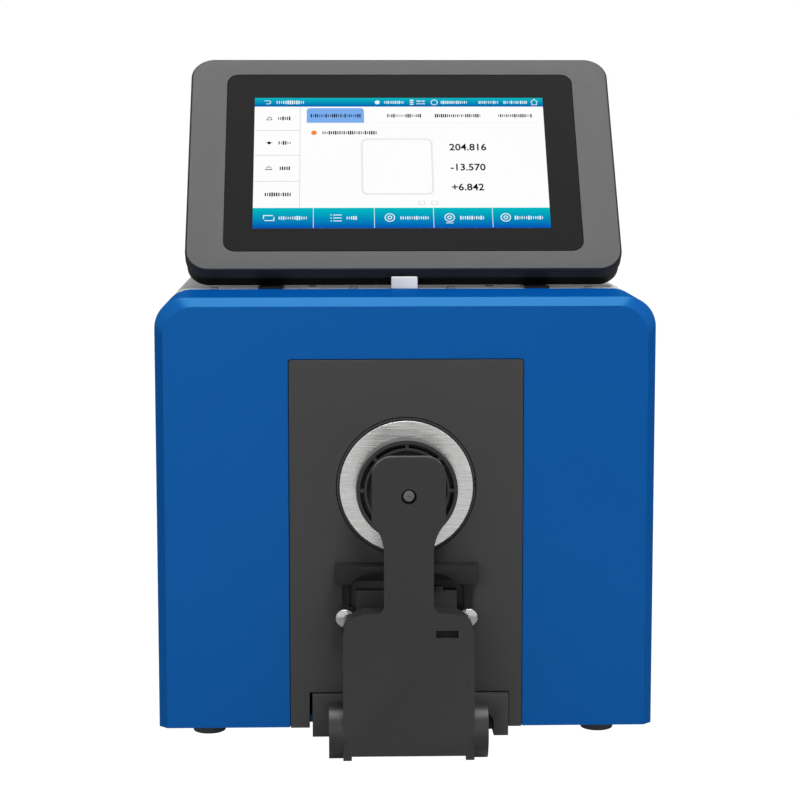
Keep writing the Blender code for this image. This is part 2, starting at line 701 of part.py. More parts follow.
def build_hinge_bracket(axis):
    """The block at the panel's foot, with a recess for the drums and two knuckles."""
    dark = finish("dark_panel", (0.055, 0.055, 0.056), 0.55)
    left = -CUTOUT_LEFT + BRACKET_SIDE_GAP
    right = CUTOUT_RIGHT - BRACKET_RIGHT_GAP
    bracket = add("hinge_bracket", block((left, right), (-BRACKET_FRONT, BRACKET_BACK),
                                         (-BRACKET_BOTTOM, CUTOUT_TOP - BRACKET_TOP_GAP)),
                  dark, axis)
    recess = ([(left + EAR_LEFT, -BRACKET_BOTTOM - OVERRUN),
               (right - EAR_RIGHT, -BRACKET_BOTTOM - OVERRUN)]
              + arc((right - EAR_RIGHT - RECESS_RADIUS, RECESS_TOP - RECESS_RADIUS),
                    RECESS_RADIUS, 0, 90)
              + arc((left + EAR_LEFT + RECESS_RADIUS, RECESS_TOP - RECESS_RADIUS),
                    RECESS_RADIUS, 90, 180))
    cut(bracket, prism(recess, "Y", -BRACKET_FRONT - OVERRUN, RECESS_BACK))
    # Tangent points join each knuckle's round end to the arm that carries it.
    tongue = ([(RECESS_BACK + OVERRUN / 2, ARM_AXIS_Z - KNUCKLE_RADIUS)]
              + [(RECESS_BACK + OVERRUN / 2, ARM_AXIS_Z + KNUCKLE_RADIUS)]
              + arc((ARM_AXIS_Y, ARM_AXIS_Z), KNUCKLE_RADIUS, 90, 270, CORNER_STEPS * 2))
    for side in (-1, 1):
        span = (KNUCKLE_INNER, KNUCKLE_OUTER) if side > 0 else (-KNUCKLE_OUTER, -KNUCKLE_INNER)
        join(bracket, prism(tongue, "X", *span))
    cut(bracket, rod(SHAFT_RADIUS + BORE_GAP, "X", -KNUCKLE_OUTER - OVERRUN,
                     KNUCKLE_OUTER + OVERRUN, (0, ARM_AXIS_Y, ARM_AXIS_Z), SMALL_STEPS))
    steel = finish("dull_steel", (0.42, 0.42, 0.43), 0.35, 1.0)
    reach = ARM_HALF_WIDTH + DRUM_WIDTH - SHAFT_END_WALL - GAP
    add("arm_hinge_shaft", rod(SHAFT_RADIUS, "X", -reach, reach, (0, ARM_AXIS_Y, ARM_AXIS_Z),
                               SMALL_STEPS), steel, axis, smooth=True)
    for name, side in (("torsion_spring_left", -1), ("torsion_spring_right", 1)):
        span = sorted((side * (KNUCKLE_OUTER + GAP),
                       side * (KNUCKLE_OUTER + GAP + SPRING_LENGTH)))
        ring = sleeve(SHAFT_RADIUS + GAP, SHAFT_RADIUS + GAP + SPRING_WIRE_RING, "X", *span,
                      (0, ARM_AXIS_Y, ARM_AXIS_Z), SMALL_STEPS)
        add(name, ring, steel, axis, smooth=True)


def arm_outline(inset=0.0, bottom=-ARM_BOTTOM):
    """Front outline of the arm: body, shoulders, neck and head, drawn in by inset."""
    half = ARM_HALF_WIDTH - inset
    shoulder = ARM_SHOULDER_Z - inset
    shoulder_radius = ARM_SHOULDER_RADIUS - inset
    neck = NECK_HALF_WIDTH - inset
    fillet = NECK_FILLET + inset
    head = HEAD_HALF_WIDTH - inset
    heel = HEAD_HEEL_RADIUS
    turn = HEAD_HEEL_ANGLE
    sweep = (head - neck - heel * (1 - math.cos(turn))) / (1 - math.cos(turn))
    heel_z = HEAD_SIDE_BOTTOM
    sweep_z = heel_z - (heel + sweep) * math.sin(turn)
    degrees = math.degrees(turn)
    right = [(half, bottom)]
    right += arc((half - shoulder_radius, shoulder - shoulder_radius), shoulder_radius, 0, 90)
    right += arc((neck + fillet, shoulder + fillet), fillet, 270, 180)
    right += arc((neck + sweep, sweep_z), sweep, 180, 180 - degrees)
    right += arc((head - heel, heel_z), heel, -degrees, 0, CORNER_STEPS // 2)
    right += arc((head - HEAD_RADIUS + inset, HEAD_TOP - HEAD_RADIUS), HEAD_RADIUS - inset, 0, 90)
    left = [(-x, z) for x, z in reversed(right)]
    return right + left


def build_arm(axis):
    """The arm's outer cover with its drums and lugs, and the metal plate inside it."""
    dark = finish("arm_plastic", (0.045, 0.045, 0.046), 0.5)
    steel = finish("dull_steel", (0.42, 0.42, 0.43), 0.35, 1.0)
    back = ARM_BACK
    hinge = (0, ARM_AXIS_Y, ARM_AXIS_Z)
    half = ARM_HALF_WIDTH
    low = -ARM_BOTTOM - LUG_DROP
    outline = arm_outline(0, low) + [(LUG_WIDTH - half, low), (LUG_WIDTH - half, -ARM_BOTTOM),
                                     (half - LUG_WIDTH, -ARM_BOTTOM), (half - LUG_WIDTH, low)]
    cover = add("arm_cover", prism(outline, "Y", -ARM_FRONT, back), dark, axis, smooth=True)
    cut(cover, block((-half - OVERRUN, half + OVERRUN), (LUG_DEPTH - ARM_FRONT, back + OVERRUN),
                     (low - OVERRUN, -ARM_BOTTOM)))
    cut(cover, block((-half, half), (ARM_PLATE_BACK, back + OVERRUN),
                     (ARM_SHOULDER_Z + GAP, HEAD_TOP + OVERRUN)))
    hollow = arm_outline(ARM_WALL, low - OVERRUN)
    cut(cover, prism(hollow, "Y", ARM_WALL - ARM_FRONT, ARM_PLATE_BACK + GAP))
    wall = ARM_WALL + GAP
    room = arched(half - wall, low - OVERRUN, ARM_SHOULDER_Z - wall, ARM_SHOULDER_RADIUS - wall)
    cut(cover, prism(room, "Y", ARM_PLATE_BACK - GAP, back + OVERRUN))
    cut(cover, block((WINDOW_X - WINDOW_WIDTH / 2, WINDOW_X + WINDOW_WIDTH / 2),
                     (-ARM_FRONT - OVERRUN, ARM_WALL - ARM_FRONT + OVERRUN),
                     (WINDOW_Z - WINDOW_HEIGHT / 2, WINDOW_Z + WINDOW_HEIGHT / 2)))
    spot = (0, 0, SPINDLE_Z)
    cut(cover, rod(SCREW_WELL_RADIUS, "Y", -ARM_FRONT - OVERRUN, OVERRUN + ARM_WALL - ARM_FRONT,
                   spot, SMALL_STEPS))
    for side in (-1, 1):
        span = sorted((side * (half - ARM_WALL / 2), side * (half + DRUM_WIDTH)))
        join(cover, rod(DRUM_RADIUS, "X", *span, hinge))
    reach = half + DRUM_WIDTH - SHAFT_END_WALL
    cut(cover, rod(SHAFT_RADIUS + BORE_GAP, "X", -reach, reach, hinge, SMALL_STEPS))
    plate_front = ARM_PLATE_BACK - ARM_FRAME_THICKNESS
    plate = add("arm_frame", prism(arm_outline(ARM_WALL + 2 * GAP, ARM_FRAME_BOTTOM), "Y",
                                   plate_front, ARM_PLATE_BACK), steel, axis, smooth=True)
    join(plate, rod(ARM_FRAME_BOSS_RADIUS, "Y", plate_front + ARM_FRAME_THICKNESS / 2,
                    ARM_BOSS_END, spot, SMALL_STEPS))
    well_floor = CLAMP_SCREW_SET_BACK + CLAMP_SCREW_HEAD + GAP - ARM_FRONT
    cut(plate, rod(SCREW_WELL_RADIUS, "Y", -ARM_FRONT, well_floor, spot, SMALL_STEPS))
    cut(plate, rod(SPINDLE_RADIUS + BORE_GAP, "Y", -ARM_FRONT, OVERRUN, spot, SMALL_STEPS))


def build_clamp(axis):
    """The spoked clamp disc, its spindle, the coil spring round it and the end screw."""
    black = finish("satin_black", (0.030, 0.030, 0.031), 0.5)
    steel = finish("dull_steel", (0.42, 0.42, 0.43), 0.35, 1.0)
    centre = (0, 0, PORT_Z)
    rear = -PLATE_FRONT - GAP
    web = rear - DISC_WEB
    ring = -DISC_FRONT + DISC_RING_SET_BACK
    rim_inner = DISC_RADIUS - DISC_RIM_WIDTH
    ring_inner = DISC_SLOT_INNER - DISC_RING_WIDTH
    profile = [
        (0, rear),
        (DISC_RADIUS, rear),
        (DISC_RADIUS, -DISC_FRONT),
        (rim_inner, -DISC_FRONT),
        (rim_inner, web),
        (DISC_SLOT_INNER, web),
        (DISC_SLOT_INNER, ring),
        (ring_inner, ring),
        (ring_inner, web),
        (DISC_HUB_RADIUS, web),
        (DISC_HUB_RADIUS, -DISC_HUB_FRONT),
        (0, -DISC_HUB_FRONT),
    ]
    disc = add("clamp_disc", turned(profile, "Y", centre), black, axis, smooth=True)
    middle = (rim_inner + DISC_SLOT_INNER) / 2
    length = rim_inner - DISC_SLOT_INNER + 2 * SPOKE_BITE
    for i in range(SPOKE_COUNT):
        angle = 2 * math.pi * i / SPOKE_COUNT
        along = Vector((math.cos(angle), math.sin(angle)))
        across = Vector((-along.y, along.x)) * SPOKE_WIDTH / 2
        hub = Vector((0, PORT_Z)) + along * middle
        ends = (along * length / 2, -along * length / 2)
        corners = [hub + ends[0] + across, hub + ends[1] + across,
                   hub + ends[1] - across, hub + ends[0] - across]
        outline = [tuple(corner) for corner in corners]
        join(disc, prism(outline, "Y", ring, web + SPOKE_BITE))
    screw_front = CLAMP_SCREW_SET_BACK - ARM_FRONT
    screw_back = screw_front + CLAMP_SCREW_HEAD
    spot = (0, 0, SPINDLE_Z)
    add("clamp_spindle", rod(SPINDLE_RADIUS, "Y", screw_back + GAP, -DISC_HUB_FRONT - GAP, spot,
                             SMALL_STEPS), steel, axis, smooth=True)
    add("clamp_screw", rod(CLAMP_SCREW_RADIUS, "Y", screw_front, screw_back, spot,
                           SMALL_STEPS), steel, axis, smooth=True)


def build_clamp_spring(axis):
    """The spring between the arm plate's boss and the disc's hub, as its outer shape."""
    steel = finish("dull_steel", (0.42, 0.42, 0.43), 0.35, 1.0)
    inner = SPINDLE_RADIUS + 2 * GAP
    near = ARM_BOSS_END + GAP
    far = -DISC_HUB_FRONT - GAP
    add("clamp_spring", sleeve(inner, inner + COIL_WIDTH, "Y", near, far, (0, 0, SPINDLE_Z),
                               SMALL_STEPS), steel, axis, smooth=True)


def gate(half_width, top, radius):
    return arched(half_width, 0, top, radius)


def build_case(axis):
    """Cover, base plate, rear panel and feet of the case behind the frame."""
    grey = finish("light_grey_paint", (0.56, 0.56, 0.55), 0.5)
    zinc = finish("zinc_plate", (0.50, 0.50, 0.50), 0.4, 1.0)
    rubber = finish("foot_rubber", (0.020, 0.020, 0.024), 0.8)
    steel = finish("dull_steel", (0.42, 0.42, 0.43), 0.35, 1.0)
    start = FRAME_DEPTH + GAP
    stop = CASE_BACK - GAP
    cover = add("top_cover", prism(gate(COVER_HALF_WIDTH, COVER_TOP, COVER_RADIUS), "Y",
                                   start, stop), grey, axis, smooth=True)
    inside = arched(COVER_HALF_WIDTH - COVER_WALL, -OVERRUN, COVER_TOP - COVER_WALL,
                    COVER_RADIUS - COVER_WALL)
    cut(cover, prism(inside, "Y", start - OVERRUN, stop + OVERRUN))
    cut(cover, block((-CHAMBER_HALF_WIDTH, CHAMBER_HALF_WIDTH), (CHAMBER_FRONT, CHAMBER_BACK),
                     (COVER_TOP - COVER_WALL - OVERRUN, COVER_TOP + OVERRUN)))
    base = add("base_plate", block(
        (-COVER_HALF_WIDTH + COVER_WALL + GAP, COVER_HALF_WIDTH - COVER_WALL - GAP),
        (start, stop), (0, BASE_THICKNESS)), zinc, axis)
    for x, y in board_corners():
        join(base, rod(BOSS_RADIUS, "Z", BASE_THICKNESS / 2, MAIN_BOARD_RISE - GAP, (x, y, 0),
                       SMALL_STEPS))
    rear = add("rear_panel", prism(gate(COVER_HALF_WIDTH, COVER_TOP, COVER_RADIUS), "Y",
                                   CASE_BACK, REAR_FACE), grey, axis, smooth=True)
    for x, width, height in SOCKET_HOLES:
        cut(rear, block((x - width / 2 - GAP, x + width / 2 + GAP),
                        (CASE_BACK - OVERRUN, REAR_FACE + OVERRUN),
                        (SOCKET_Z - height / 2 - GAP, SOCKET_Z + height / 2 + GAP)))
    for i in range(VENT_COUNT):
        x = VENT_X + (i - (VENT_COUNT - 1) / 2) * VENT_PITCH
        slot = rounded((x - VENT_WIDTH / 2, x + VENT_WIDTH / 2), (VENT_Z, VENT_Z + VENT_HEIGHT),
                       VENT_WIDTH / 2, CORNER_STEPS // 2)
        cut(rear, prism(slot, "Y", CASE_BACK - OVERRUN, REAR_FACE + OVERRUN))
    foot_profile = [(0, -GAP), (FOOT_RADIUS, -GAP),
                    (FOOT_TIP_RADIUS, FOOT_TIP_BEVEL - FOOT_HEIGHT),
                    (FOOT_TIP_RADIUS - FOOT_TIP_BEVEL, -FOOT_HEIGHT), (0, -FOOT_HEIGHT)]
    for row, y in (("front", FOOT_FRONT_Y), ("rear", FOOT_REAR_Y)):
        for side, x in (("left", -FOOT_X), ("right", FOOT_X)):
            add(f"foot_{row}_{side}", turned(foot_profile, "Z", (x, y, 0), SMALL_STEPS),
                rubber, axis, smooth=True)


def build_display(axis):
    """The display head, drawn flat: x across, t back from its face, s up the face."""
    grey = finish("display_grey", (0.175, 0.175, 0.175), 0.5)
    black = finish("black_plastic", (0.012, 0.012, 0.013), 0.45)
    glass = finish("cover_glass", (0.030, 0.030, 0.030), 0.08)
    lcd = finish("lcd_white", (0.80, 0.85, 0.90), 0.2)
    green = finish("circuit_green", (0.010, 0.120, 0.045), 0.5)
    half = DISPLAY_WIDTH / 2

    def outline(inset, steps=CORNER_STEPS):
        return rounded((-half + inset, half - inset),
                       (inset - DISPLAY_LIP, DISPLAY_HEIGHT - inset), DISPLAY_RADIUS - inset,
                       steps)

    def centred(width, height, radius):
        middle = GLASS_BOTTOM + GLASS_HEIGHT / 2
        return rounded((-width / 2, width / 2), (middle - height / 2, middle + height / 2), radius)

    edge = []
    for i in range(DISPLAY_EDGE_STEPS + 1):
        turn = math.pi / 2 * i / DISPLAY_EDGE_STEPS
        edge.append(lift(outline(DISPLAY_EDGE * (1 - math.sin(turn))), "Y",
                         DISPLAY_EDGE * (1 - math.cos(turn))))
    bezel = add("display_bezel", loft(edge + [lift(outline(0), "Y", BEZEL_DEPTH)]), grey, axis,
                smooth=True)
    pocket = centred(GLASS_WIDTH + 2 * GAP, GLASS_HEIGHT + 2 * GAP, GLASS_RADIUS + GAP)
    floor = GLASS_THICKNESS + GAP
    cut(bezel, prism(pocket, "Y", -OVERRUN, floor))
    window = centred(LCD_WIDTH + 2 * GAP, LCD_HEIGHT + 2 * GAP, PANEL_RADIUS)
    cut(bezel, prism(window, "Y", 0, floor + BEZEL_WEB + OVERRUN))
    cut(bezel, prism(outline(SHELL_WALL), "Y", floor + BEZEL_WEB, BEZEL_DEPTH + OVERRUN))
    pane = centred(GLASS_WIDTH, GLASS_HEIGHT, GLASS_RADIUS)
    add("display_glass", prism(pane, "Y", 0, GLASS_THICKNESS), glass, axis)
    lcd_back = floor + LCD_THICKNESS
    add("lcd_panel", prism(centred(LCD_WIDTH, LCD_HEIGHT, PANEL_RADIUS - GAP), "Y", floor,
                           lcd_back), lcd, axis)
    board = centred(LCD_WIDTH - 2 * BOARD_MARGIN, LCD_HEIGHT - 2 * BOARD_MARGIN, PANEL_RADIUS)
    add("display_board", prism(board, "Y", lcd_back + GAP, lcd_back + GAP + BOARD_THICKNESS),
        green, axis)
    shell_front = BEZEL_DEPTH + GAP
    rings = [lift(outline(BACK_INSET), "Y", shell_front),
             lift(outline(BACK_INSET), "Y", BACK_DEPTH - BACK_ROUNDING),
             lift(outline(BACK_INSET + BACK_ROUNDING / 3), "Y", BACK_DEPTH - BACK_ROUNDING / 3),
             lift(outline(BACK_INSET + BACK_ROUNDING), "Y", BACK_DEPTH)]
    shell = add("display_back_shell", loft(rings), black, axis, smooth=True)
    cut(shell, prism(outline(SHELL_WALL + BACK_INSET), "Y", shell_front - OVERRUN,
                     BACK_DEPTH - BACK_WALL))


def build_display_hinge(name, side, base_axis, head_axis):
    """One friction hinge: a foot on the cover, and a leaf on the display with its pin."""
    black = finish("black_plastic", (0.012, 0.012, 0.013), 0.45)
    steel = finish("dull_steel", (0.42, 0.42, 0.43), 0.35, 1.0)
    middle = side * TILT_FOOT_X
    x = (middle - TILT_FOOT_WIDTH / 2, middle + TILT_FOOT_WIDTH / 2)
    outer = (middle + GAP / 2, x[1]) if side > 0 else (x[0], middle - GAP / 2)
    inner = (x[0], middle - GAP / 2) if side > 0 else (middle + GAP / 2, x[1])
    shifted = tuple(limit + DISPLAY_SHIFT_X for limit in outer)
    whole = tuple(limit + DISPLAY_SHIFT_X for limit in x)
    axis_line = (0, TILT_AXIS_Y, TILT_AXIS_Z)
    floor = COVER_TOP + GAP
    foot = add(f"display_foot_{name}", block(whole, (TILT_FOOT_FRONT, TILT_FOOT_BACK),
                                             (floor, floor + TILT_FOOT_THICKNESS)),
               black, base_axis)
    join(foot, block(shifted, (TILT_AXIS_Y - TILT_KNUCKLE_RADIUS,
                               TILT_AXIS_Y + TILT_KNUCKLE_RADIUS),
                     (floor + TILT_FOOT_THICKNESS / 2, TILT_AXIS_Z)))
    join(foot, rod(TILT_KNUCKLE_RADIUS, "X", *shifted, axis_line, SMALL_STEPS))
    cut(foot, rod(TILT_PIN_RADIUS + BORE_GAP, "X", shifted[0] - OVERRUN, shifted[1] + OVERRUN,
                  axis_line, SMALL_STEPS))
    head_line = (0, TILT_AXIS_T, TILT_AXIS_S)
    plate = BACK_DEPTH + GAP
    leaf = add(f"display_leaf_{name}", block(x, (plate, plate + LEAF_THICKNESS),
                                             (TILT_AXIS_S + TILT_KNUCKLE_RADIUS, LEAF_HEIGHT)),
               steel, head_axis, smooth=True)
    join(leaf, block(inner, (plate, TILT_AXIS_T),
                     (TILT_AXIS_S, TILT_AXIS_S + TILT_KNUCKLE_RADIUS * 2)))
    join(leaf, rod(TILT_KNUCKLE_RADIUS, "X", *inner, head_line, SMALL_STEPS))
    join(leaf, rod(TILT_PIN_RADIUS, "X", x[0] + GAP, x[1] - GAP, head_line, SMALL_STEPS))


def build_cable_duct(axis):
    """The light grey duct that leads the display's flat cable into the case."""
    grey = finish("light_grey_paint", (0.56, 0.56, 0.55), 0.5)
    x = (DISPLAY_SHIFT_X - DUCT_WIDTH / 2, DISPLAY_SHIFT_X + DUCT_WIDTH / 2)
    add("cable_duct", block(x, (DUCT_FRONT, DUCT_BACK), (COVER_TOP + GAP, DUCT_TOP)), grey, axis)


def build_chamber(axis):
    """The transmission compartment: liner with two beam windows, and cuvette fork."""
    black = finish("black_plastic", (0.012, 0.012, 0.013), 0.45)
    half = CHAMBER_HALF_WIDTH + CHAMBER_WALL
    y = (CHAMBER_FRONT - CHAMBER_WALL, CHAMBER_BACK + CHAMBER_WALL)
    top = COVER_TOP - COVER_WALL - GAP
    liner = add("chamber_liner", block((-half, half), y, (CHAMBER_FLOOR - CHAMBER_WALL, top)),
                black, axis)
    flange = CHAMBER_FLANGE
    join(liner, block((-half - flange, half + flange), (y[0] - flange, y[1] + flange),
                      (top - CHAMBER_FLANGE_THICKNESS, top)))
    cut(liner, block((-CHAMBER_HALF_WIDTH, CHAMBER_HALF_WIDTH), (CHAMBER_FRONT, CHAMBER_BACK),
                     (CHAMBER_FLOOR, top + OVERRUN)))
    for wall in (CHAMBER_FRONT, CHAMBER_BACK):
        cut(liner, rod(BEAM_RADIUS, "Y", wall - CHAMBER_WALL - OVERRUN,
                       wall + CHAMBER_WALL + OVERRUN, (0, 0, PORT_Z), SMALL_STEPS))
    middle = (CHAMBER_FRONT + CHAMBER_BACK) / 2
    depth = (middle - HOLDER_DEPTH / 2, middle + HOLDER_DEPTH / 2)
    floor = CHAMBER_FLOOR + GAP
    holder = add("cuvette_holder", block((-HOLDER_HALF_WIDTH, HOLDER_HALF_WIDTH), depth,
                                         (floor, floor + HOLDER_HEIGHT)), black, axis)
    cut(holder, block((-CUVETTE_WIDTH / 2, CUVETTE_WIDTH / 2),
                      (depth[0] - OVERRUN, depth[1] + OVERRUN),
                      (floor + HOLDER_BASE, floor + HOLDER_HEIGHT + OVERRUN)))


def build_lid(base_axis, lid_axis):
    """The compartment's lid with its light trap and seal, on a pinned strip hinge."""
    grey = finish("light_grey_paint", (0.56, 0.56, 0.55), 0.5)
    foam = finish("seal_foam", (0.015, 0.015, 0.015), 0.95)
    steel = finish("dull_steel", (0.42, 0.42, 0.43), 0.35, 1.0)
    half = CHAMBER_HALF_WIDTH + LID_MARGIN
    y = (CHAMBER_FRONT - LID_FRONT_MARGIN, CHAMBER_BACK + LID_MARGIN)
    top = LID_BOTTOM + LID_THICKNESS
    lid = add("compartment_lid", prism(rounded((-half, half), y, LID_RADIUS), "Z", LID_BOTTOM,
                                       top), grey, lid_axis, smooth=True)
    lip_x = CHAMBER_HALF_WIDTH - LID_LIP_CLEARANCE
    lip_y = (CHAMBER_FRONT + LID_LIP_CLEARANCE, CHAMBER_BACK - LID_LIP_CLEARANCE)
    join(lid, block((-lip_x, lip_x), lip_y, (LID_BOTTOM - LID_LIP_DEPTH, LID_BOTTOM + GAP)))
    hollow_x = lip_x - LID_LIP_WALL
    hollow_y = (lip_y[0] + LID_LIP_WALL, lip_y[1] - LID_LIP_WALL)
    cut(lid, block((-hollow_x, hollow_x), hollow_y,
                   (LID_BOTTOM - LID_LIP_DEPTH - OVERRUN, LID_BOTTOM)))
    seal_x = CHAMBER_HALF_WIDTH + SEAL_CLEARANCE
    seal_y = (CHAMBER_FRONT - SEAL_CLEARANCE, CHAMBER_BACK + SEAL_CLEARANCE)
    seal_z = (COVER_TOP + GAP, COVER_TOP + GAP + SEAL_THICKNESS)
    seal = add("lid_seal", block((-seal_x - SEAL_WIDTH, seal_x + SEAL_WIDTH),
                                 (seal_y[0] - SEAL_WIDTH, seal_y[1] + SEAL_WIDTH), seal_z),
               foam, lid_axis)
    cut(seal, block((-seal_x, seal_x), seal_y, (seal_z[0] - OVERRUN, seal_z[1] + OVERRUN)))
    line = (0, LID_AXIS_Y, LID_AXIS_Z)
    reach = LID_KNUCKLE_X + LID_KNUCKLE_WIDTH + GAP
    floor = COVER_TOP + GAP
    hinge = add("lid_hinge", block((-reach, reach), (LID_AXIS_Y - LID_KNUCKLE_RADIUS,
                                                     LID_AXIS_Y + LID_KNUCKLE_RADIUS),
                                   (floor, floor + LID_STRIP)), steel, base_axis)
    for side in (-1, 1):
        middle = side * LID_KNUCKLE_X
        span = (middle - LID_KNUCKLE_WIDTH / 2, middle + LID_KNUCKLE_WIDTH / 2)
        join(lid, block(span, (y[1] - LID_LIP_WALL, LID_AXIS_Y),
                        (LID_AXIS_Z - LID_KNUCKLE_RADIUS / 2,
                         LID_AXIS_Z + LID_KNUCKLE_RADIUS / 2)))
        join(lid, rod(LID_KNUCKLE_RADIUS, "X", *span, line, SMALL_STEPS))
        ear = sorted((side * (LID_KNUCKLE_X + LID_KNUCKLE_WIDTH / 2 + GAP),
                      side * (LID_KNUCKLE_X + LID_KNUCKLE_WIDTH + GAP)))
        outline = (arc((LID_AXIS_Y, LID_AXIS_Z), LID_KNUCKLE_RADIUS, 0, 180)
                   + [(LID_AXIS_Y - LID_KNUCKLE_RADIUS, floor),
                      (LID_AXIS_Y + LID_KNUCKLE_RADIUS, floor)])
        join(hinge, prism(outline, "X", *ear))
    for piece in (lid, hinge):
        cut(piece, rod(LID_PIN_RADIUS + BORE_GAP, "X", -COVER_HALF_WIDTH, COVER_HALF_WIDTH, line,
                       SMALL_STEPS))
    add("lid_pin", rod(LID_PIN_RADIUS, "X", -reach, reach, line, SMALL_STEPS), steel, base_axis,
        smooth=True)


def board_corners():
    """Places of the four bosses under the main board."""
    x = (MAIN_BOARD_LEFT + BOSS_INSET, MAIN_BOARD_LEFT + MAIN_BOARD_WIDTH - BOSS_INSET)
    y = (MAIN_BOARD_FRONT + BOSS_INSET, MAIN_BOARD_FRONT + MAIN_BOARD_LENGTH - BOSS_INSET)
    return [(a, b) for a in x for b in y]


def build_modules(axis):
    """Lamp, camera, spectrometer, main board and power supply inside the case."""
    alloy = finish("sphere_alloy", (0.45, 0.46, 0.47), 0.45, 1.0)
    black = finish("black_plastic", (0.012, 0.012, 0.013), 0.45)
    green = finish("circuit_green", (0.010, 0.120, 0.045), 0.5)
    mirror = finish("grating_mirror", (0.80, 0.80, 0.82), 0.05, 1.0)
    end = -SPHERE_OUTER - SPHERE_FLANGE - GAP
    lamp = add("lamp_module", rod(LAMP_TUBE_RADIUS, "X", end - LAMP_TUBE_LENGTH, end,
                                  (0, SPHERE_Y, PORT_Z)), black, axis, smooth=True)
    box_end = end - LAMP_TUBE_LENGTH + OVERRUN
    join(lamp, block((COVER_WALL + LAMP_SIDE - COVER_HALF_WIDTH, box_end),
                     (SPHERE_Y - LAMP_BOX / 2, SPHERE_Y + LAMP_BOX / 2),
                     (PORT_Z - LAMP_BOX / 2, PORT_Z + LAMP_BOX / 2)))
    camera_y = FRAME_FRONT + GAP
    camera_z = PORT_Z + CAMERA_LIFT
    add("camera_module", block((-CAMERA_WIDTH / 2, CAMERA_WIDTH / 2),
                               (camera_y, camera_y + CAMERA_DEPTH),
                               (camera_z, camera_z + CAMERA_WIDTH)), black, axis)
    tube_start = CHAMBER_BACK + CHAMBER_WALL + GAP
    tube_end = tube_start + LENS_TUBE_LENGTH
    add("lens_tube", sleeve(BEAM_RADIUS, TUBE_OUTER, "Y", tube_start, tube_end, (0, 0, PORT_Z)),
        black, axis, smooth=True)
    front = tube_end + GAP
    back = CASE_BACK - MODULE_BACK_GAP
    wall = CASE_MODULE_WALL
    case = add("spectrometer_case", block((-CASE_MODULE_HALF_WIDTH, CASE_MODULE_HALF_WIDTH),
                                          (front, back), (CASE_MODULE_BOTTOM, CASE_MODULE_TOP)),
               alloy, axis)
    leg_back = back - CASE_LEG_SET_BACK
    join(case, block((-CASE_MODULE_HALF_WIDTH + wall, CASE_MODULE_HALF_WIDTH - wall),
                     (front + wall, leg_back),
                     (BASE_THICKNESS + GAP, CASE_MODULE_BOTTOM + wall / 2)))
    cut(case, block((-CASE_MODULE_HALF_WIDTH + wall, CASE_MODULE_HALF_WIDTH - wall),
                    (front + wall, back + OVERRUN),
                    (CASE_MODULE_BOTTOM + wall, CASE_MODULE_TOP - wall)))
    cut(case, rod(BEAM_RADIUS, "Y", front - OVERRUN, front + wall + OVERRUN, (0, 0, PORT_Z),
                  SMALL_STEPS))
    cut(case, block((-COVER_HALF_WIDTH, COVER_HALF_WIDTH), (front + 2 * wall, leg_back - wall),
                    (BASE_THICKNESS + GAP + wall, CASE_MODULE_BOTTOM - wall)))
    plate_front = back + GAP
    add("detector_board", block((-CASE_MODULE_HALF_WIDTH, CASE_MODULE_HALF_WIDTH),
                                (plate_front, plate_front + BOARD_THICKNESS),
                                (CASE_MODULE_BOTTOM, CASE_MODULE_TOP)), green, axis)
    floor = CASE_MODULE_BOTTOM + wall + GAP
    middle = (front + back) / 2
    add("grating", block((GRATING_RIGHT - GRATING_SIZE, GRATING_RIGHT),
                         (middle, middle + GRATING_THICKNESS), (floor, floor + GRATING_SIZE)),
        mirror, axis)
    rise = MAIN_BOARD_RISE
    add("main_board", block((MAIN_BOARD_LEFT, MAIN_BOARD_LEFT + MAIN_BOARD_WIDTH),
                            (MAIN_BOARD_FRONT, MAIN_BOARD_FRONT + MAIN_BOARD_LENGTH),
                            (rise, rise + BOARD_THICKNESS)), green, axis)
    side = -COVER_HALF_WIDTH + COVER_WALL + SUPPLY_SIDE
    add("power_supply", block((side, side + SUPPLY_WIDTH),
                              (SUPPLY_FRONT, SUPPLY_FRONT + SUPPLY_LENGTH),
                              (BASE_THICKNESS + GAP, BASE_THICKNESS + GAP + SUPPLY_HEIGHT)),
        alloy, axis)


def socket(name, axis, x, width, height):
    """A rear socket: a block through the rear panel with a shallow pocket."""
    black = finish("black_plastic", (0.012, 0.012, 0.013), 0.45)
    front = REAR_FACE + SOCKET_PROUD
    body = add(name, block((x - width / 2, x + width / 2), (front - SOCKET_DEPTH, front),
                           (SOCKET_Z - height / 2, SOCKET_Z + height / 2)), black, axis)
    rim = SOCKET_RIM
    cut(body, block((x - width / 2 + rim, x + width / 2 - rim),
                    (front - SOCKET_POCKET, front + OVERRUN),
                    (SOCKET_Z - height / 2 + rim, SOCKET_Z + height / 2 - rim)))
    return body


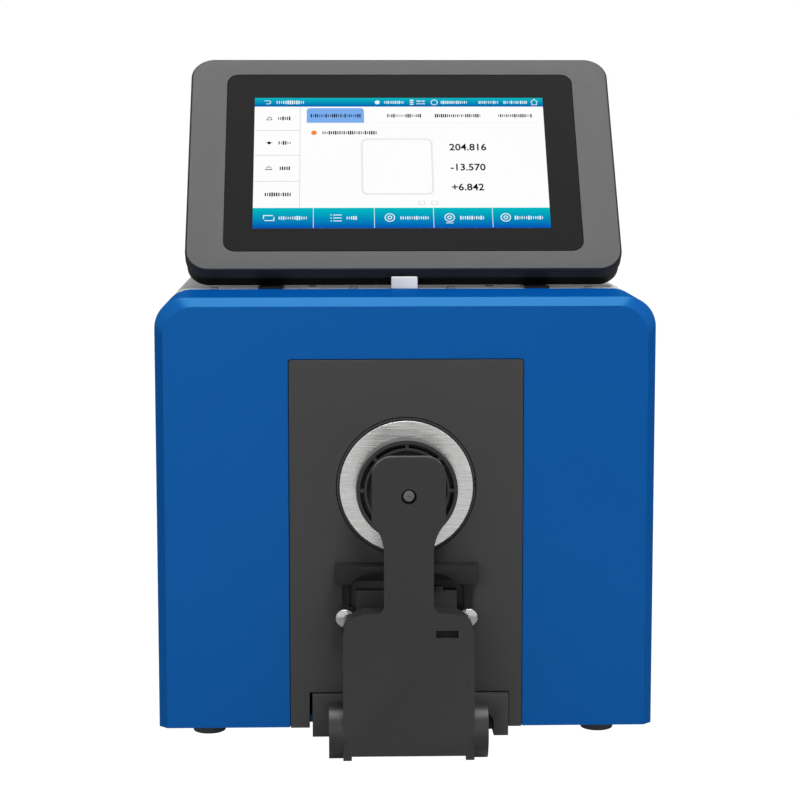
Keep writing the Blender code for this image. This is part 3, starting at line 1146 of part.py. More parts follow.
def build_rear(axis, rocker_axis):
    """Power inlet, two data sockets and the rocker switch in its frame."""
    black = finish("black_plastic", (0.012, 0.012, 0.013), 0.45)
    front = REAR_FACE + SOCKET_PROUD
    inlet = add("power_inlet", block((INLET_X - INLET_WIDTH / 2, INLET_X + INLET_WIDTH / 2),
                                     (front - SOCKET_DEPTH, front),
                                     (SOCKET_Z - INLET_HEIGHT / 2, SOCKET_Z + INLET_HEIGHT / 2)),
                black, axis)
    cut(inlet, rod(JACK_RADIUS, "Y", front - JACK_DEPTH, front + OVERRUN,
                   (INLET_X, 0, SOCKET_Z), SMALL_STEPS))
    socket("usb_socket", axis, USB_X, USB_WIDTH, USB_HEIGHT)
    socket("serial_socket", axis, SERIAL_X, SERIAL_WIDTH, SERIAL_HEIGHT)
    sweep = ROCKER_REACH * math.cos(ROCKER_CORNER - ROCKER_TILT) + ROCKER_SWEEP_GAP
    room = ROCKER_WIDTH / 2 + ROCKER_SIDE_GAP
    rim = ROCKER_FRAME_RIM
    frame = add("rocker_frame", block((ROCKER_X - room - rim, ROCKER_X + room + rim),
                                      (front - ROCKER_FRAME_DEPTH, front),
                                      (SOCKET_Z - sweep - rim, SOCKET_Z + sweep + rim)),
                black, axis)
    floor = ROCKER_AXIS_Y - math.hypot(ROCKER_BACK, ROCKER_HALF_HEIGHT) - ROCKER_SWEEP_GAP
    floor = max(floor, front - ROCKER_FRAME_DEPTH + GAP)
    cut(frame, block((ROCKER_X - room, ROCKER_X + room), (floor, front + OVERRUN),
                     (SOCKET_Z - sweep, SOCKET_Z + sweep)))
    half = ROCKER_HALF_HEIGHT
    flat = [(-ROCKER_BACK, -half / 2), (ROCKER_END, -half), (ROCKER_NECK, 0),
            (ROCKER_END, half), (-ROCKER_BACK, half / 2)]
    turn = -ROCKER_TILT
    outline = [(ROCKER_AXIS_Y + y * math.cos(turn) - z * math.sin(turn),
                SOCKET_Z + y * math.sin(turn) + z * math.cos(turn)) for y, z in flat]
    add("power_rocker", prism(outline, "X", ROCKER_X - ROCKER_WIDTH / 2,
                              ROCKER_X + ROCKER_WIDTH / 2), black, rocker_axis)


def build_instrument():
    """Clear the scene, set out the axes and hang every piece on them."""
    for old in list(bpy.data.objects):
        bpy.data.objects.remove(old, do_unlink=True)
    middle = (FRONT_REACH + BACK_REACH) / 2
    root = empty("instrument", (0, -middle, FOOT_HEIGHT), (0, 0, 0))

    def axis_at(name, spot):
        return empty(name, spot, spot, root)

    arm = axis_at("arm_axis", (0, ARM_AXIS_Y, ARM_AXIS_Z))
    clamp = empty("clamp_axis", (0, -ARM_AXIS_Y, PORT_Z - ARM_AXIS_Z), (0, 0, PORT_Z), arm)
    plate = axis_at("aperture_axis", (0, 0, PORT_Z))
    display = empty("display_axis", (DISPLAY_SHIFT_X, TILT_AXIS_Y, TILT_AXIS_Z),
                    (0, TILT_AXIS_T, TILT_AXIS_S), root, -DISPLAY_TILT)
    lid = axis_at("lid_axis", (0, LID_AXIS_Y, LID_AXIS_Z))
    rocker = axis_at("rocker_axis", (ROCKER_X, ROCKER_AXIS_Y, SOCKET_Z))
    build_front_frame(root)
    build_front_panel(root)
    build_port(root, plate)
    build_sphere(root)
    build_sample_rest(root)
    for name, x in (("rest_knob_left", -KNOB_X), ("rest_knob_right", KNOB_X)):
        build_knob(name, axis_at(name + "_axis", (x, 0, KNOB_Z)), x)
    build_hinge_bracket(root)
    build_arm(arm)
    build_clamp_spring(arm)
    build_clamp(clamp)
    build_case(root)
    build_display(display)
    for name, side in (("left", -1), ("right", 1)):
        build_display_hinge(name, side, root, display)
    build_cable_duct(root)
    build_chamber(root)
    build_lid(root, lid)
    build_modules(root)
    build_rear(root, rocker)


build_instrument()
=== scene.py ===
# %% [markdown]
# # A benchtop spectrophotometer, dressed for its photograph
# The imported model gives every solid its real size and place. This file keeps that
# frame and makes the fine surfaces round it: round edges, paint, metal, glass, the
# picture on the screen, and the small screws and springs that the solids leave out.

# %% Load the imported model
import json
import math

import bmesh
import bpy
from mathutils import Matrix, Vector

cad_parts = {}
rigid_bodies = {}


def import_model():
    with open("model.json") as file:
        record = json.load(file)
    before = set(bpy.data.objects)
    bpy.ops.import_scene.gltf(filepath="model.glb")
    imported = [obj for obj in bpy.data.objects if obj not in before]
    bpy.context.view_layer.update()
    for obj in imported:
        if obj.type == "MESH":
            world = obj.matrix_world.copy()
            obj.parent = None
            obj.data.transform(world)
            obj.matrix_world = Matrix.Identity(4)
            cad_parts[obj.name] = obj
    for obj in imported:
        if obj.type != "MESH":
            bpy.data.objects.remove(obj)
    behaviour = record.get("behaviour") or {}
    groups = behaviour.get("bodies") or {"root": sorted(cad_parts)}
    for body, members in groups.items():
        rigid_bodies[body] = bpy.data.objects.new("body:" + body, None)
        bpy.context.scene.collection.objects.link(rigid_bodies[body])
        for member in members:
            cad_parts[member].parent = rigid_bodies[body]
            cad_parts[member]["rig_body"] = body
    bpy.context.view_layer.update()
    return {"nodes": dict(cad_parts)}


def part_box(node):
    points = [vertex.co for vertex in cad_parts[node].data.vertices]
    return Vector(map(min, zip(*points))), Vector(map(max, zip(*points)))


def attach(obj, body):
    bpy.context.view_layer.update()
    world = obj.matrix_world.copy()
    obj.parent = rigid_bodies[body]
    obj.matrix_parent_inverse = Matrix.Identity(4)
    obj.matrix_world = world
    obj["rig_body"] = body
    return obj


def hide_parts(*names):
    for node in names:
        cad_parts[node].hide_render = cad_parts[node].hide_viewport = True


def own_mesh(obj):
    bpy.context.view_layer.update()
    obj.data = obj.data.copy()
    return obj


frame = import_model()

nodes = frame["nodes"]

# %% [markdown]
# ## One set of coordinates
# The instrument was drawn from the lower edge of its blue face: X to the right, Y
# back, Z up. The frame's own box says where that edge stands now, so every piece
# here is drawn in the same plain coordinates and then carried to its place.

# %% Where the blue face stands
face_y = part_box("front_frame")[0].y
sole_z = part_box("front_frame")[0].z
INSTRUMENT = Matrix.Translation((0, face_y, sole_z))
print("face at", round(face_y, 5), "lower edge at", round(sole_z, 5))

# %% [markdown]
# ## The camera
# The photograph was taken from straight ahead, a little left of the middle, from
# about a metre away and just above the display's foot. Those three facts fix how
# the top of the case shows as a thin strip and how the screen leans away.

# %% Set the camera
CAMERA_SPOT = Vector((-0.03486, -1.07999, 0.29628))
CAMERA_YAW = 0.0295
CAMERA_PITCH = -0.1229
CAMERA_ROLL = -0.0004
CAMERA_LENS = 100.806
SENSOR = 36.0
camera_data = bpy.data.cameras.new("camera")
camera_data.lens = CAMERA_LENS
camera_data.sensor_width = SENSOR
camera = bpy.data.objects.new("camera", camera_data)
bpy.context.scene.collection.objects.link(camera)
camera.matrix_world = (INSTRUMENT @ Matrix.Translation(CAMERA_SPOT)
                       @ Matrix.Rotation(-CAMERA_YAW, 4, "Z")
                       @ Matrix.Rotation(math.pi / 2 + CAMERA_PITCH, 4, "X")
                       @ Matrix.Rotation(CAMERA_ROLL, 4, "Z"))
bpy.context.scene.camera = camera
bpy.context.scene.view_settings.view_transform = "Standard"
print("camera at", [round(v, 4) for v in camera.matrix_world.translation])

# %% [markdown]
# ## Light, sky and bench
# A product picture like this one is lit by soft boxes in a white room. The world
# stands for the room: pure white to the camera, a softer grey to matt surfaces.
# Reflections see white all round and one bright box straight above.
# That box draws the light line on every upper edge and lights the blue chamfer.
# The bench looks as white as the picture's background, and is a mid grey to light.
# The picture shows no shadow on it.

# %% Helpers for node trees
def node(tree, kind, **values):
    """Add a node, and set its properties or, by name, its inputs."""
    made = tree.nodes.new(kind)
    for key, value in values.items():
        if hasattr(made, key):
            setattr(made, key, value)
        else:
            made.inputs[key.replace("_", " ")].default_value = value
    return made


def linear(red, green, blue):
    """A colour read on a screen as 0 to 255, as the linear numbers of a shader."""
    parts = []
    for part in (red, green, blue):
        part /= 255
        parts.append(part / 12.92 if part <= 0.04045 else ((part + 0.055) / 1.055) ** 2.4)
    return (*parts, 1.0)


# %% The room
ROOM_LIGHT = 0.34
BOX_GLOSS = 6.0
world = bpy.data.worlds.new("white_room")
bpy.context.scene.world = world
world.use_nodes = True
room = world.node_tree
room.nodes.clear()
path = node(room, "ShaderNodeLightPath")
way = node(room, "ShaderNodeSeparateXYZ")
room.links.new(node(room, "ShaderNodeTexCoord").outputs["Generated"], way.inputs[0])
above = node(room, "ShaderNodeMapRange", interpolation_type="SMOOTHSTEP", From_Min=0.88,
             From_Max=0.98, To_Min=1.0, To_Max=BOX_GLOSS)
room.links.new(way.outputs["Z"], above.inputs["Value"])
skies = [node(room, "ShaderNodeBackground", Color=(1, 1, 1, 1), Strength=strength)
         for strength in (ROOM_LIGHT, 1.0, 1.0)]
room.links.new(above.outputs[0], skies[1].inputs["Strength"])
shader_so_far = skies[0]
for ray, sky in (("Is Glossy Ray", skies[1]), ("Is Camera Ray", skies[2])):
    choose = node(room, "ShaderNodeMixShader")
    room.links.new(path.outputs[ray], choose.inputs[0])
    room.links.new(shader_so_far.outputs[0], choose.inputs[1])
    room.links.new(sky.outputs[0], choose.inputs[2])
    shader_so_far = choose
room.links.new(shader_so_far.outputs[0], node(room, "ShaderNodeOutputWorld").inputs[0])
print("room light", ROOM_LIGHT)

# %% The bench
BENCH_GLOW, BENCH_GREY = 1.05, 0.45
bench_finish = bpy.data.materials.new("white_bench")
bench_finish.use_nodes = True
bench_tree = bench_finish.node_tree
bench_tree.nodes.clear()
glow = node(bench_tree, "ShaderNodeEmission", Color=(1, 1, 1, 1), Strength=BENCH_GLOW)
plain = node(bench_tree, "ShaderNodeBsdfDiffuse", Color=(BENCH_GREY, BENCH_GREY, BENCH_GREY, 1))
pick = node(bench_tree, "ShaderNodeMixShader")
bench_tree.links.new(node(bench_tree, "ShaderNodeLightPath").outputs["Is Camera Ray"],
                     pick.inputs[0])
bench_tree.links.new(plain.outputs[0], pick.inputs[1])
bench_tree.links.new(glow.outputs[0], pick.inputs[2])
bench_tree.links.new(pick.outputs[0], node(bench_tree, "ShaderNodeOutputMaterial").inputs[0])
bench_mesh = bpy.data.meshes.new("bench")
REACH = 12.0
bench_mesh.from_pydata([(-REACH, -REACH, 0), (REACH, -REACH, 0), (REACH, REACH, 0),
                        (-REACH, REACH, 0)], [], [(0, 1, 2, 3)])
bench_mesh.materials.append(bench_finish)
bench = bpy.data.objects.new("bench", bench_mesh)
bpy.context.scene.collection.objects.link(bench)
print("bench laid")


# %% Soft boxes
def soft_box(name, spot, aim, size, power):
    """An area lamp that hangs at a spot and looks at a point."""
    lamp = bpy.data.lights.new(name, "AREA")
    lamp.size = size
    lamp.energy = power
    box = bpy.data.objects.new(name, lamp)
    bpy.context.scene.collection.objects.link(box)
    box.location = spot
    box.rotation_euler = (Vector(aim) - Vector(spot)).to_track_quat("-Z", "Y").to_euler()
    box.visible_glossy = False
    return box


MIDDLE = (0, 0, 0.15)
soft_box("key_box", (0.30, -0.95, 1.75), MIDDLE, 0.6, 30.0)
soft_box("fill_box", (-0.5, -1.9, 0.6), MIDDLE, 1.0, 9.0)
print("lamps hung")

# %% [markdown]
# ## Finishes
# Nothing on a real instrument is one flat colour. Paint has a slight orange peel,
# moulded plastic a spark-eroded grain, brushed metal its fine lines. One helper
# makes the paints and plastics: noise in the object's own coordinates varies the
# colour and the roughness a little, and a finer noise raises the surface. Numbers
# that are the same all over go straight on the shader. The blue paint has a matt
# base under a thin tinted sheen, which is what the bright box above lights up.

# %% A finish with grain
def pattern(tree, scale, stretch=(1, 1, 1), detail=2.0):
    """Noise in object coordinates, from 0 to 1. The scale is in cells per metre."""
    where = node(tree, "ShaderNodeTexCoord")
    turn = node(tree, "ShaderNodeMapping", Scale=stretch)
    noise = node(tree, "ShaderNodeTexNoise", Scale=scale, Detail=detail)
    tree.links.new(where.outputs["Object"], turn.inputs["Vector"])
    tree.links.new(turn.outputs["Vector"], noise.inputs["Vector"])
    return noise.outputs["Fac"]


def between(tree, factor, low, high):
    """Turn the noise's middle range into numbers from low to high."""
    span = node(tree, "ShaderNodeMapRange", From_Min=0.3, From_Max=0.7, To_Min=low, To_Max=high)
    tree.links.new(factor, span.inputs["Value"])
    return span.outputs["Result"]


def blend_colours(tree, factor, first, second):
    """Sockets 6, 7 and 2 are the colour ones of this node."""
    mix = node(tree, "ShaderNodeMix", data_type="RGBA")
    tree.links.new(factor, mix.inputs[0])
    mix.inputs[6].default_value = first
    mix.inputs[7].default_value = second
    return mix.outputs[2]


def raised(tree, shader, factor, height):
    """Let the noise lift the surface by up to a height in metres."""
    bump = node(tree, "ShaderNodeBump", Strength=1.0, Distance=height)
    tree.links.new(factor, bump.inputs["Height"])
    tree.links.new(bump.outputs["Normal"], shader.inputs["Normal"])


def shader_of(name, metallic=0.0, specular=0.5, roughness=0.5):
    made = bpy.data.materials.new(name)
    made.use_nodes = True
    shader = made.node_tree.nodes["Principled BSDF"]
    shader.inputs["Metallic"].default_value = metallic
    shader.inputs["Specular IOR Level"].default_value = specular
    shader.inputs["Roughness"].default_value = roughness
    return made, made.node_tree, shader


def grained(name, colour, roughness, grain, height, mottle=0.06, metallic=0.0, specular=0.5):
    """Paint, plastic or rubber: mottled colour, uneven gloss, and a fine raised grain."""
    made, tree, shader = shader_of(name, metallic, specular)
    broad = pattern(tree, 28.0)
    dark = tuple(part * (1 - mottle) for part in colour[:3]) + (1.0,)
    light = tuple(min(1.0, part * (1 + mottle)) for part in colour[:3]) + (1.0,)
    tree.links.new(blend_colours(tree, broad, dark, light), shader.inputs["Base Color"])
    uneven = between(tree, pattern(tree, 160.0), roughness - 0.05, roughness + 0.05)
    tree.links.new(uneven, shader.inputs["Roughness"])
    raised(tree, shader, pattern(tree, grain, detail=3.0), height)
    return made


# %% Paints, plastics and rubber
blue_paint = grained("blue_paint", linear(1, 74, 149), 0.5, 1400, 1e-6, 0.02, specular=0.0)
BLUE_SHEEN = 0.036
tree = blue_paint.node_tree
sheen = node(tree, "ShaderNodeBsdfGlossy", Color=(0.30, 1.0, 1.0, 1), Roughness=0.28)
coat = node(tree, "ShaderNodeMixShader")
coat.inputs[0].default_value = BLUE_SHEEN
tree.links.new(tree.nodes["Principled BSDF"].outputs[0], coat.inputs[1])
tree.links.new(sheen.outputs[0], coat.inputs[2])
tree.links.new(coat.outputs[0], tree.nodes["Material Output"].inputs[0])
grey_paint = grained("light_grey_paint", linear(214, 214, 212), 0.6, 2200, 6e-6, 0.02,
                     specular=0.05)
panel_paint = grained("dark_panel", linear(60, 60, 60), 0.5, 5200, 1.2e-5, specular=0.20)
arm_plastic = grained("arm_plastic", linear(44, 44, 44), 0.32, 6000, 4e-6, 0.02, specular=0.36)
black_satin = grained("satin_black", linear(34, 34, 34), 0.4, 6000, 6e-6, specular=0.25)
disc_black = grained("disc_black", linear(50, 50, 50), 0.4, 6000, 4e-6, 0.03, specular=0.3)
black_plastic = grained("black_plastic", linear(20, 20, 21), 0.45, 5000, 1e-5, specular=0.15)
display_grey = grained("display_grey", linear(87, 87, 87), 0.4, 4200, 6e-6, 0.02, specular=0.10)
# The bezel's darker, slightly blue twin of its grey is painted shade for its sides and rounded
# edge, not a colour of their own.
display_edge = grained("display_edge", linear(40, 41, 48), 0.4, 4200, 8e-6, specular=0.05)
shell_black = grained("shell_black", linear(16, 17, 17), 0.4, 4200, 8e-6, specular=0.06)
foot_rubber = grained("foot_rubber", linear(104, 105, 108), 0.8, 3000, 2e-5, 0.1, specular=0.2)
seal_foam = grained("seal_foam", linear(30, 30, 30), 0.95, 2600, 8e-5, 0.2, specular=0.1)
port_white = grained("port_white", linear(238, 238, 234), 0.9, 3500, 6e-6, 0.02, specular=0.1)
print("matt finishes made")

# %% [markdown]
# ## Metals
# The ring round the port is brushed from side to side, so its lines lie flat and
# its reflections spread up and down. Stretched noise does that: long along X and
# very short along Z. It moves colour, roughness and height together, as a real
# scratch does. The other metals are plated sheet, turned steel and cast alloy.


# %% Brushed metal
def brushed(name, colour, roughness, stretch, height, contrast):
    made, tree, shader = shader_of(name, metallic=1.0)
    lines = pattern(tree, 1.0, stretch, 3.0)
    dark = tuple(part * (1 - contrast) for part in colour[:3]) + (1.0,)
    light = tuple(min(1.0, part * (1 + contrast)) for part in colour[:3]) + (1.0,)
    tree.links.new(blend_colours(tree, between(tree, lines, 0.0, 1.0), dark, light),
                   shader.inputs["Base Color"])
    tree.links.new(between(tree, lines, roughness - 0.08, roughness + 0.10),
                   shader.inputs["Roughness"])
    raised(tree, shader, lines, height)
    return made


ring_silver = brushed("brushed_silver", linear(238, 238, 236), 0.24, (40, 40, 1500), 8e-5, 0.14)
knob_steel = brushed("bright_steel", linear(190, 190, 188), 0.25, (500, 2600, 500), 2e-6, 0.04)
dull_steel = brushed("dull_steel", linear(150, 150, 152), 0.38, (260, 2200, 2200), 3e-6, 0.08)
screw_steel = brushed("screw_steel", linear(130, 130, 131), 0.40, (900, 900, 900), 3e-6, 0.10)
zinc_plate = brushed("zinc_plate", linear(182, 182, 180), 0.40, (420, 60, 420), 4e-6, 0.10)
cast_alloy = brushed("sphere_alloy", linear(176, 178, 180), 0.48, (700, 700, 700), 1e-5, 0.06)
mirror_coat = brushed("grating_mirror", linear(228, 228, 232), 0.10, (9000, 60, 60), 5e-7, 0.03)
blackened = brushed("blackened_steel", linear(40, 40, 42), 0.5, (260, 2200, 2200), 4e-6, 0.10)
print("metals made")

# %% [markdown]
# ## Shapes
# Most pieces are either an outline pushed along an axis or a profile turned about
# one. The helpers below make such solids in bmesh with many more steps than the
# plain solids have. Booleans cut them, in the order a machinist would, and a small
# Bevel takes every hard edge off, because a real edge always catches some light.


# %% Solids from outlines and profiles
def loft(rings):
    """A closed solid through rings that have equally many points."""
    shape = bmesh.new()
    rows = [[shape.verts.new(point) for point in ring] for ring in rings]
    count = len(rows[0])
    for near, far in zip(rows, rows[1:]):
        for i in range(count):
            j = (i + 1) % count
            shape.faces.new((near[i], near[j], far[j], far[i]))
    shape.faces.new(rows[0])
    shape.faces.new(rows[-1])
    return shape


def lift(outline, along, height):
    places = {"X": lambda a, b: (height, a, b), "Y": lambda a, b: (a, height, b),
              "Z": lambda a, b: (a, b, height)}
    return [places[along](a, b) for a, b in outline]


def prism(outline, along, low, high):
    return loft([lift(outline, along, low), lift(outline, along, high)])


def block(x, y, z):
    return prism([(x[0], y[0]), (x[1], y[0]), (x[1], y[1]), (x[0], y[1])], "Z", z[0], z[1])


def arc(centre, radius, start, stop, steps=16):
    """Points on an arc, angles in degrees from the first axis."""
    angles = [math.radians(start + (stop - start) * i / steps) for i in range(steps + 1)]
    return [(centre[0] + radius * math.cos(a), centre[1] + radius * math.sin(a)) for a in angles]


def rounded(a, b, radius, steps=16):
    """A rectangle from pairs of limits, with four round corners."""
    return (arc((a[1] - radius, b[0] + radius), radius, -90, 0, steps)
            + arc((a[1] - radius, b[1] - radius), radius, 0, 90, steps)
            + arc((a[0] + radius, b[1] - radius), radius, 90, 180, steps)
            + arc((a[0] + radius, b[0] + radius), radius, 180, 270, steps))


def arched(half_width, bottom, top, radius, steps=20):
    """A gate outline: square at the bottom, round at both top corners."""
    return ([(-half_width, bottom), (half_width, bottom)]
            + arc((half_width - radius, top - radius), radius, 0, 90, steps)
            + arc((-half_width + radius, top - radius), radius, 90, 180, steps))


def turned(profile, along, centre, steps=128):
    """Turn a profile of (radius, height) about an axis through the centre."""
    shape = bmesh.new()
    rows = []
    for radius, height in profile:
        row = []
        for i in range(steps if radius > 0 else 1):
            angle = 2 * math.pi * i / steps
            spot = lift([(radius * math.cos(angle), radius * math.sin(angle))], along, height)[0]
            row.append(shape.verts.new(Vector(spot) + Vector(centre)))
        rows.append(row)
    pairs = list(zip(rows, rows[1:]))
    if profile[0][0] > 0:
        pairs.append((rows[-1], rows[0]))
    for near, far in pairs:
        for i in range(steps):
            j = (i + 1) % steps
            corners = [near[i % len(near)], near[j % len(near)],
                       far[j % len(far)], far[i % len(far)]]
            shape.faces.new(list(dict.fromkeys(corners)))
    return shape


def rod(radius, along, low, high, centre=(0, 0, 0), steps=96):
    return turned([(0, low), (radius, low), (radius, high), (0, high)], along, centre, steps)


print("shape helpers ready")


# %% Cutting and joining
def mesh_of(name, shape):
    bmesh.ops.recalc_face_normals(shape, faces=shape.faces)
    mesh = bpy.data.meshes.new(name)
    shape.to_mesh(mesh)
    shape.free()
    return mesh


def evaluated(thing):
    """The object's mesh as its modifiers leave it, as a plain mesh of its own."""
    bpy.context.view_layer.update()
    graph = bpy.context.evaluated_depsgraph_get()
    return bpy.data.meshes.new_from_object(thing.evaluated_get(graph))


def shown(name, mesh):
    thing = bpy.data.objects.new(name, mesh)
    bpy.context.scene.collection.objects.link(thing)
    return thing


def worked(shape, *steps):
    """Cut ('-') and join ('+') shapes in order, and return the result as a bmesh."""
    base = shown("blank", mesh_of("blank", shape))
    tools = []
    for sign, tool in steps:
        tools.append(shown("tool", mesh_of("tool", tool)))
        change = base.modifiers.new("work", "BOOLEAN")
        change.operation = "UNION" if sign == "+" else "DIFFERENCE"
        change.object = tools[-1]
    result = bmesh.new()
    result.from_mesh(evaluated(base))
    for thing in (base, *tools):
        bpy.data.objects.remove(thing, do_unlink=True)
    bmesh.ops.remove_doubles(result, verts=result.verts, dist=1e-6)
    bmesh.ops.dissolve_limit(result, angle_limit=math.radians(0.5), verts=result.verts,
                             edges=result.edges)
    return result


EDGE_ANGLE = math.radians(28)


def piece(name, shape, finish, body, edge=0.0002, place=INSTRUMENT, instead=(),
          segments=2):
    """Put a shape in its place, take its edges off, and let it ride on its body."""
    mesh = mesh_of(name, shape) if isinstance(shape, bmesh.types.BMesh) else shape
    mesh.transform(place)
    mesh.materials.clear()
    mesh.materials.append(finish)
    mesh.shade_smooth()
    made = shown(name, mesh)
    if edge:
        round_off = made.modifiers.new("soft edges", "BEVEL")
        round_off.width = edge
        round_off.segments = segments
        round_off.limit_method = "ANGLE"
        round_off.angle_limit = EDGE_ANGLE
        round_off.harden_normals = True
    else:
        mesh.set_sharp_from_angle(angle=EDGE_ANGLE)
    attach(made, body)
    if instead:
        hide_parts(*instead)
    return made


def refined(solid, finish, edge=0.0002, segments=2, name=None):
    """A finer copy of one solid: merged, its flat faces made whole, its edges round."""
    source = nodes[solid]
    shape = bmesh.new()
    shape.from_mesh(source.data)
    bmesh.ops.remove_doubles(shape, verts=shape.verts, dist=1e-6)
    bmesh.ops.dissolve_limit(shape, angle_limit=math.radians(0.5), verts=shape.verts,
                             edges=shape.edges)
    return piece(name or solid + "_fine", shape, finish, source["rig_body"], edge,
                 Matrix.Identity(4), (solid,), segments)


print("work helpers ready")

# %% [markdown]
# ## The blue frame
# The front of the case is one deep moulding: a flat face whose top corners are
# round, a wide chamfer that runs up and over it, and a hoop that reaches back over
# the cover. A loft through three gate outlines gives face, chamfer and hoop in one
# go, and cuts give the pocket of the dark panel, the port and the foot's opening.

# %% Make the blue frame
GAP = 0.0003
OVERRUN = 0.002
lo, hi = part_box("front_frame")
HALF_WIDTH = hi.x
FRAME_TOP = hi.z - sole_z
FRAME_DEPTH = hi.y - face_y
CHAMFER = 0.0042
CORNER = 0.0148
FACE_CORNER = 0.0150
WALL = 0.004
FACE_THICKNESS = 0.005
PANEL_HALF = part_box("front_panel")[1].x
PANEL_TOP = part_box("front_panel")[1].z - sole_z
PANEL_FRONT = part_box("front_panel")[0].y - face_y
PANEL_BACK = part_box("front_panel")[1].y - face_y
PORT_Z = (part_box("aperture_plate")[0].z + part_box("aperture_plate")[1].z) / 2 - sole_z
PORT = (0, 0, PORT_Z)
SEAT_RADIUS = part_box("aperture_seat")[1].x
CUT_LEFT, CUT_RIGHT, CUT_TOP, REBATE = -0.0476, 0.0506, 0.0178, 0.0015

face = arched(HALF_WIDTH - CHAMFER, 0, FRAME_TOP - CHAMFER, FACE_CORNER)
side = arched(HALF_WIDTH, 0, FRAME_TOP, CORNER)
hoop = loft([lift(face, "Y", 0), lift(side, "Y", CHAMFER), lift(side, "Y", FRAME_DEPTH)])
inside = arched(HALF_WIDTH - WALL, WALL, FRAME_TOP - WALL, CORNER - WALL)
pocket = arched(PANEL_HALF + GAP, -OVERRUN, PANEL_TOP + GAP, 0.0015)
hoop = worked(
    hoop,
    ("-", prism(inside, "Y", FACE_THICKNESS, FRAME_DEPTH + OVERRUN)),
    ("-", prism(pocket, "Y", -OVERRUN, PANEL_BACK + GAP)),
    ("-", rod(SEAT_RADIUS + GAP, "Y", 0, FACE_THICKNESS + OVERRUN, PORT)),
    ("-", block((CUT_LEFT - REBATE, CUT_RIGHT + REBATE), (0, 0.0098),
                (-OVERRUN, CUT_TOP + REBATE))),
)
piece("blue_frame", hoop, blue_paint, "instrument", 0.0002,
      instead=("front_frame",))
print("blue frame", round(2000 * HALF_WIDTH, 1), "mm wide")

# %% [markdown]
# ## The dark panel and the port
# A black-painted plate fills the middle of the face. Its round hole takes the port:
# a dark seat with a narrow lip, and in it the bright ring that samples lie against.
# Both are turned parts, so each is one profile spun about the port's axis.

# %% Make the panel
plate = prism(arched(PANEL_HALF, 0, PANEL_TOP, 0.0015), "Y", PANEL_FRONT, PANEL_BACK)
KNOB_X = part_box("rest_knob_right")[0].x / 2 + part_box("rest_knob_right")[1].x / 2
KNOB_Z = (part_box("rest_knob_right")[0].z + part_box("rest_knob_right")[1].z) / 2 - sole_z
plate = worked(
    plate,
    ("-", rod(SEAT_RADIUS + GAP, "Y", -FACE_THICKNESS, FACE_THICKNESS, PORT)),
    ("-", block((CUT_LEFT, CUT_RIGHT), (-FACE_THICKNESS, FACE_THICKNESS), (-OVERRUN, CUT_TOP))),
    *(("-", rod(0.0017, "Y", -FACE_THICKNESS, FACE_THICKNESS, (x, 0, KNOB_Z), 32))
      for x in (-KNOB_X, KNOB_X)),
)
piece("dark_panel", plate, panel_paint, "instrument", 0.00022,
      instead=("front_panel",))
print("panel top at", round(PANEL_TOP, 4))

# %% Make the seat, the ring and the collar behind it
SEAT_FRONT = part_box("aperture_seat")[0].y - face_y
SEAT_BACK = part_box("aperture_seat")[1].y - face_y
SEAT_FLOOR = SEAT_BACK - FACE_THICKNESS
SEAT_LIP, SEAT_BORE = 0.0011, 0.0200
seat = turned([(SEAT_RADIUS - SEAT_LIP, SEAT_FRONT), (SEAT_RADIUS, SEAT_FRONT),
               (SEAT_RADIUS, SEAT_BACK), (SEAT_BORE, SEAT_BACK), (SEAT_BORE, SEAT_FLOOR),
               (SEAT_RADIUS - SEAT_LIP, SEAT_FLOOR)], "Y", PORT, 160)
piece("port_seat", seat, disc_black, "instrument", 0.00015,
      instead=("aperture_seat",))
RING_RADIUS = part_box("aperture_plate")[1].x
RING_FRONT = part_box("aperture_plate")[0].y - face_y
RING_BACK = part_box("aperture_plate")[1].y - face_y
BORE_FRONT, BORE_BACK = 0.0125, 0.0190
ring = turned([(BORE_FRONT, RING_FRONT), (RING_RADIUS, RING_FRONT), (RING_RADIUS, RING_BACK),
               (BORE_BACK, RING_BACK)], "Y", PORT, 160)
piece("port_ring", ring, ring_silver, "aperture_ring", 0.0003,
      instead=("aperture_plate",), segments=3)
refined("port_collar", port_white, 0.0002)
print("ring radius", round(RING_RADIUS, 5))

# %% [markdown]
# ## The sample rest
# Below the port an arched shelf stands on two legs, with a block between them. Two
# domed knobs hold it: each is a bright turned dome with a slot for a coin. The
# shelf's solid is already right, so it only needs its edges taken off.

# %% Make the rest and its knobs
refined("sample_rest", black_satin, 0.0003, 3)
refined("rest_block", disc_black, 0.0003, 3)
KNOB_RADIUS = (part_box("rest_knob_right")[1].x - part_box("rest_knob_right")[0].x) / 2
KNOB_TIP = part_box("rest_knob_right")[0].y - face_y
KNOB_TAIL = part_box("rest_knob_right")[1].y - face_y
DOME = 0.0020
KNOB_SEAT = KNOB_TIP + DOME + 0.0037


def domed_knob(name, x, body, stands_for):
    """A dome over a short collar, with a slot across it and a stem behind."""
    profile = [(0, KNOB_TAIL), (0.0014, KNOB_TAIL), (0.0014, KNOB_SEAT),
               (KNOB_RADIUS, KNOB_SEAT)]
    edge = KNOB_TIP + DOME
    for i in range(18):
        angle = math.pi / 2 * i / 18
        profile.append((KNOB_RADIUS * math.cos(angle), edge - DOME * math.sin(angle)))
    profile.append((0, KNOB_TIP))
    slot_cut = block((x - KNOB_RADIUS, x + KNOB_RADIUS), (KNOB_TIP - OVERRUN, KNOB_TIP + 0.001),
                     (KNOB_Z - 0.00045, KNOB_Z + 0.00045))
    shape = worked(turned(profile, "Y", (x, 0, KNOB_Z), 64), ("-", slot_cut))
    piece(name, shape, knob_steel, body, 0.00012, instead=(stands_for,))


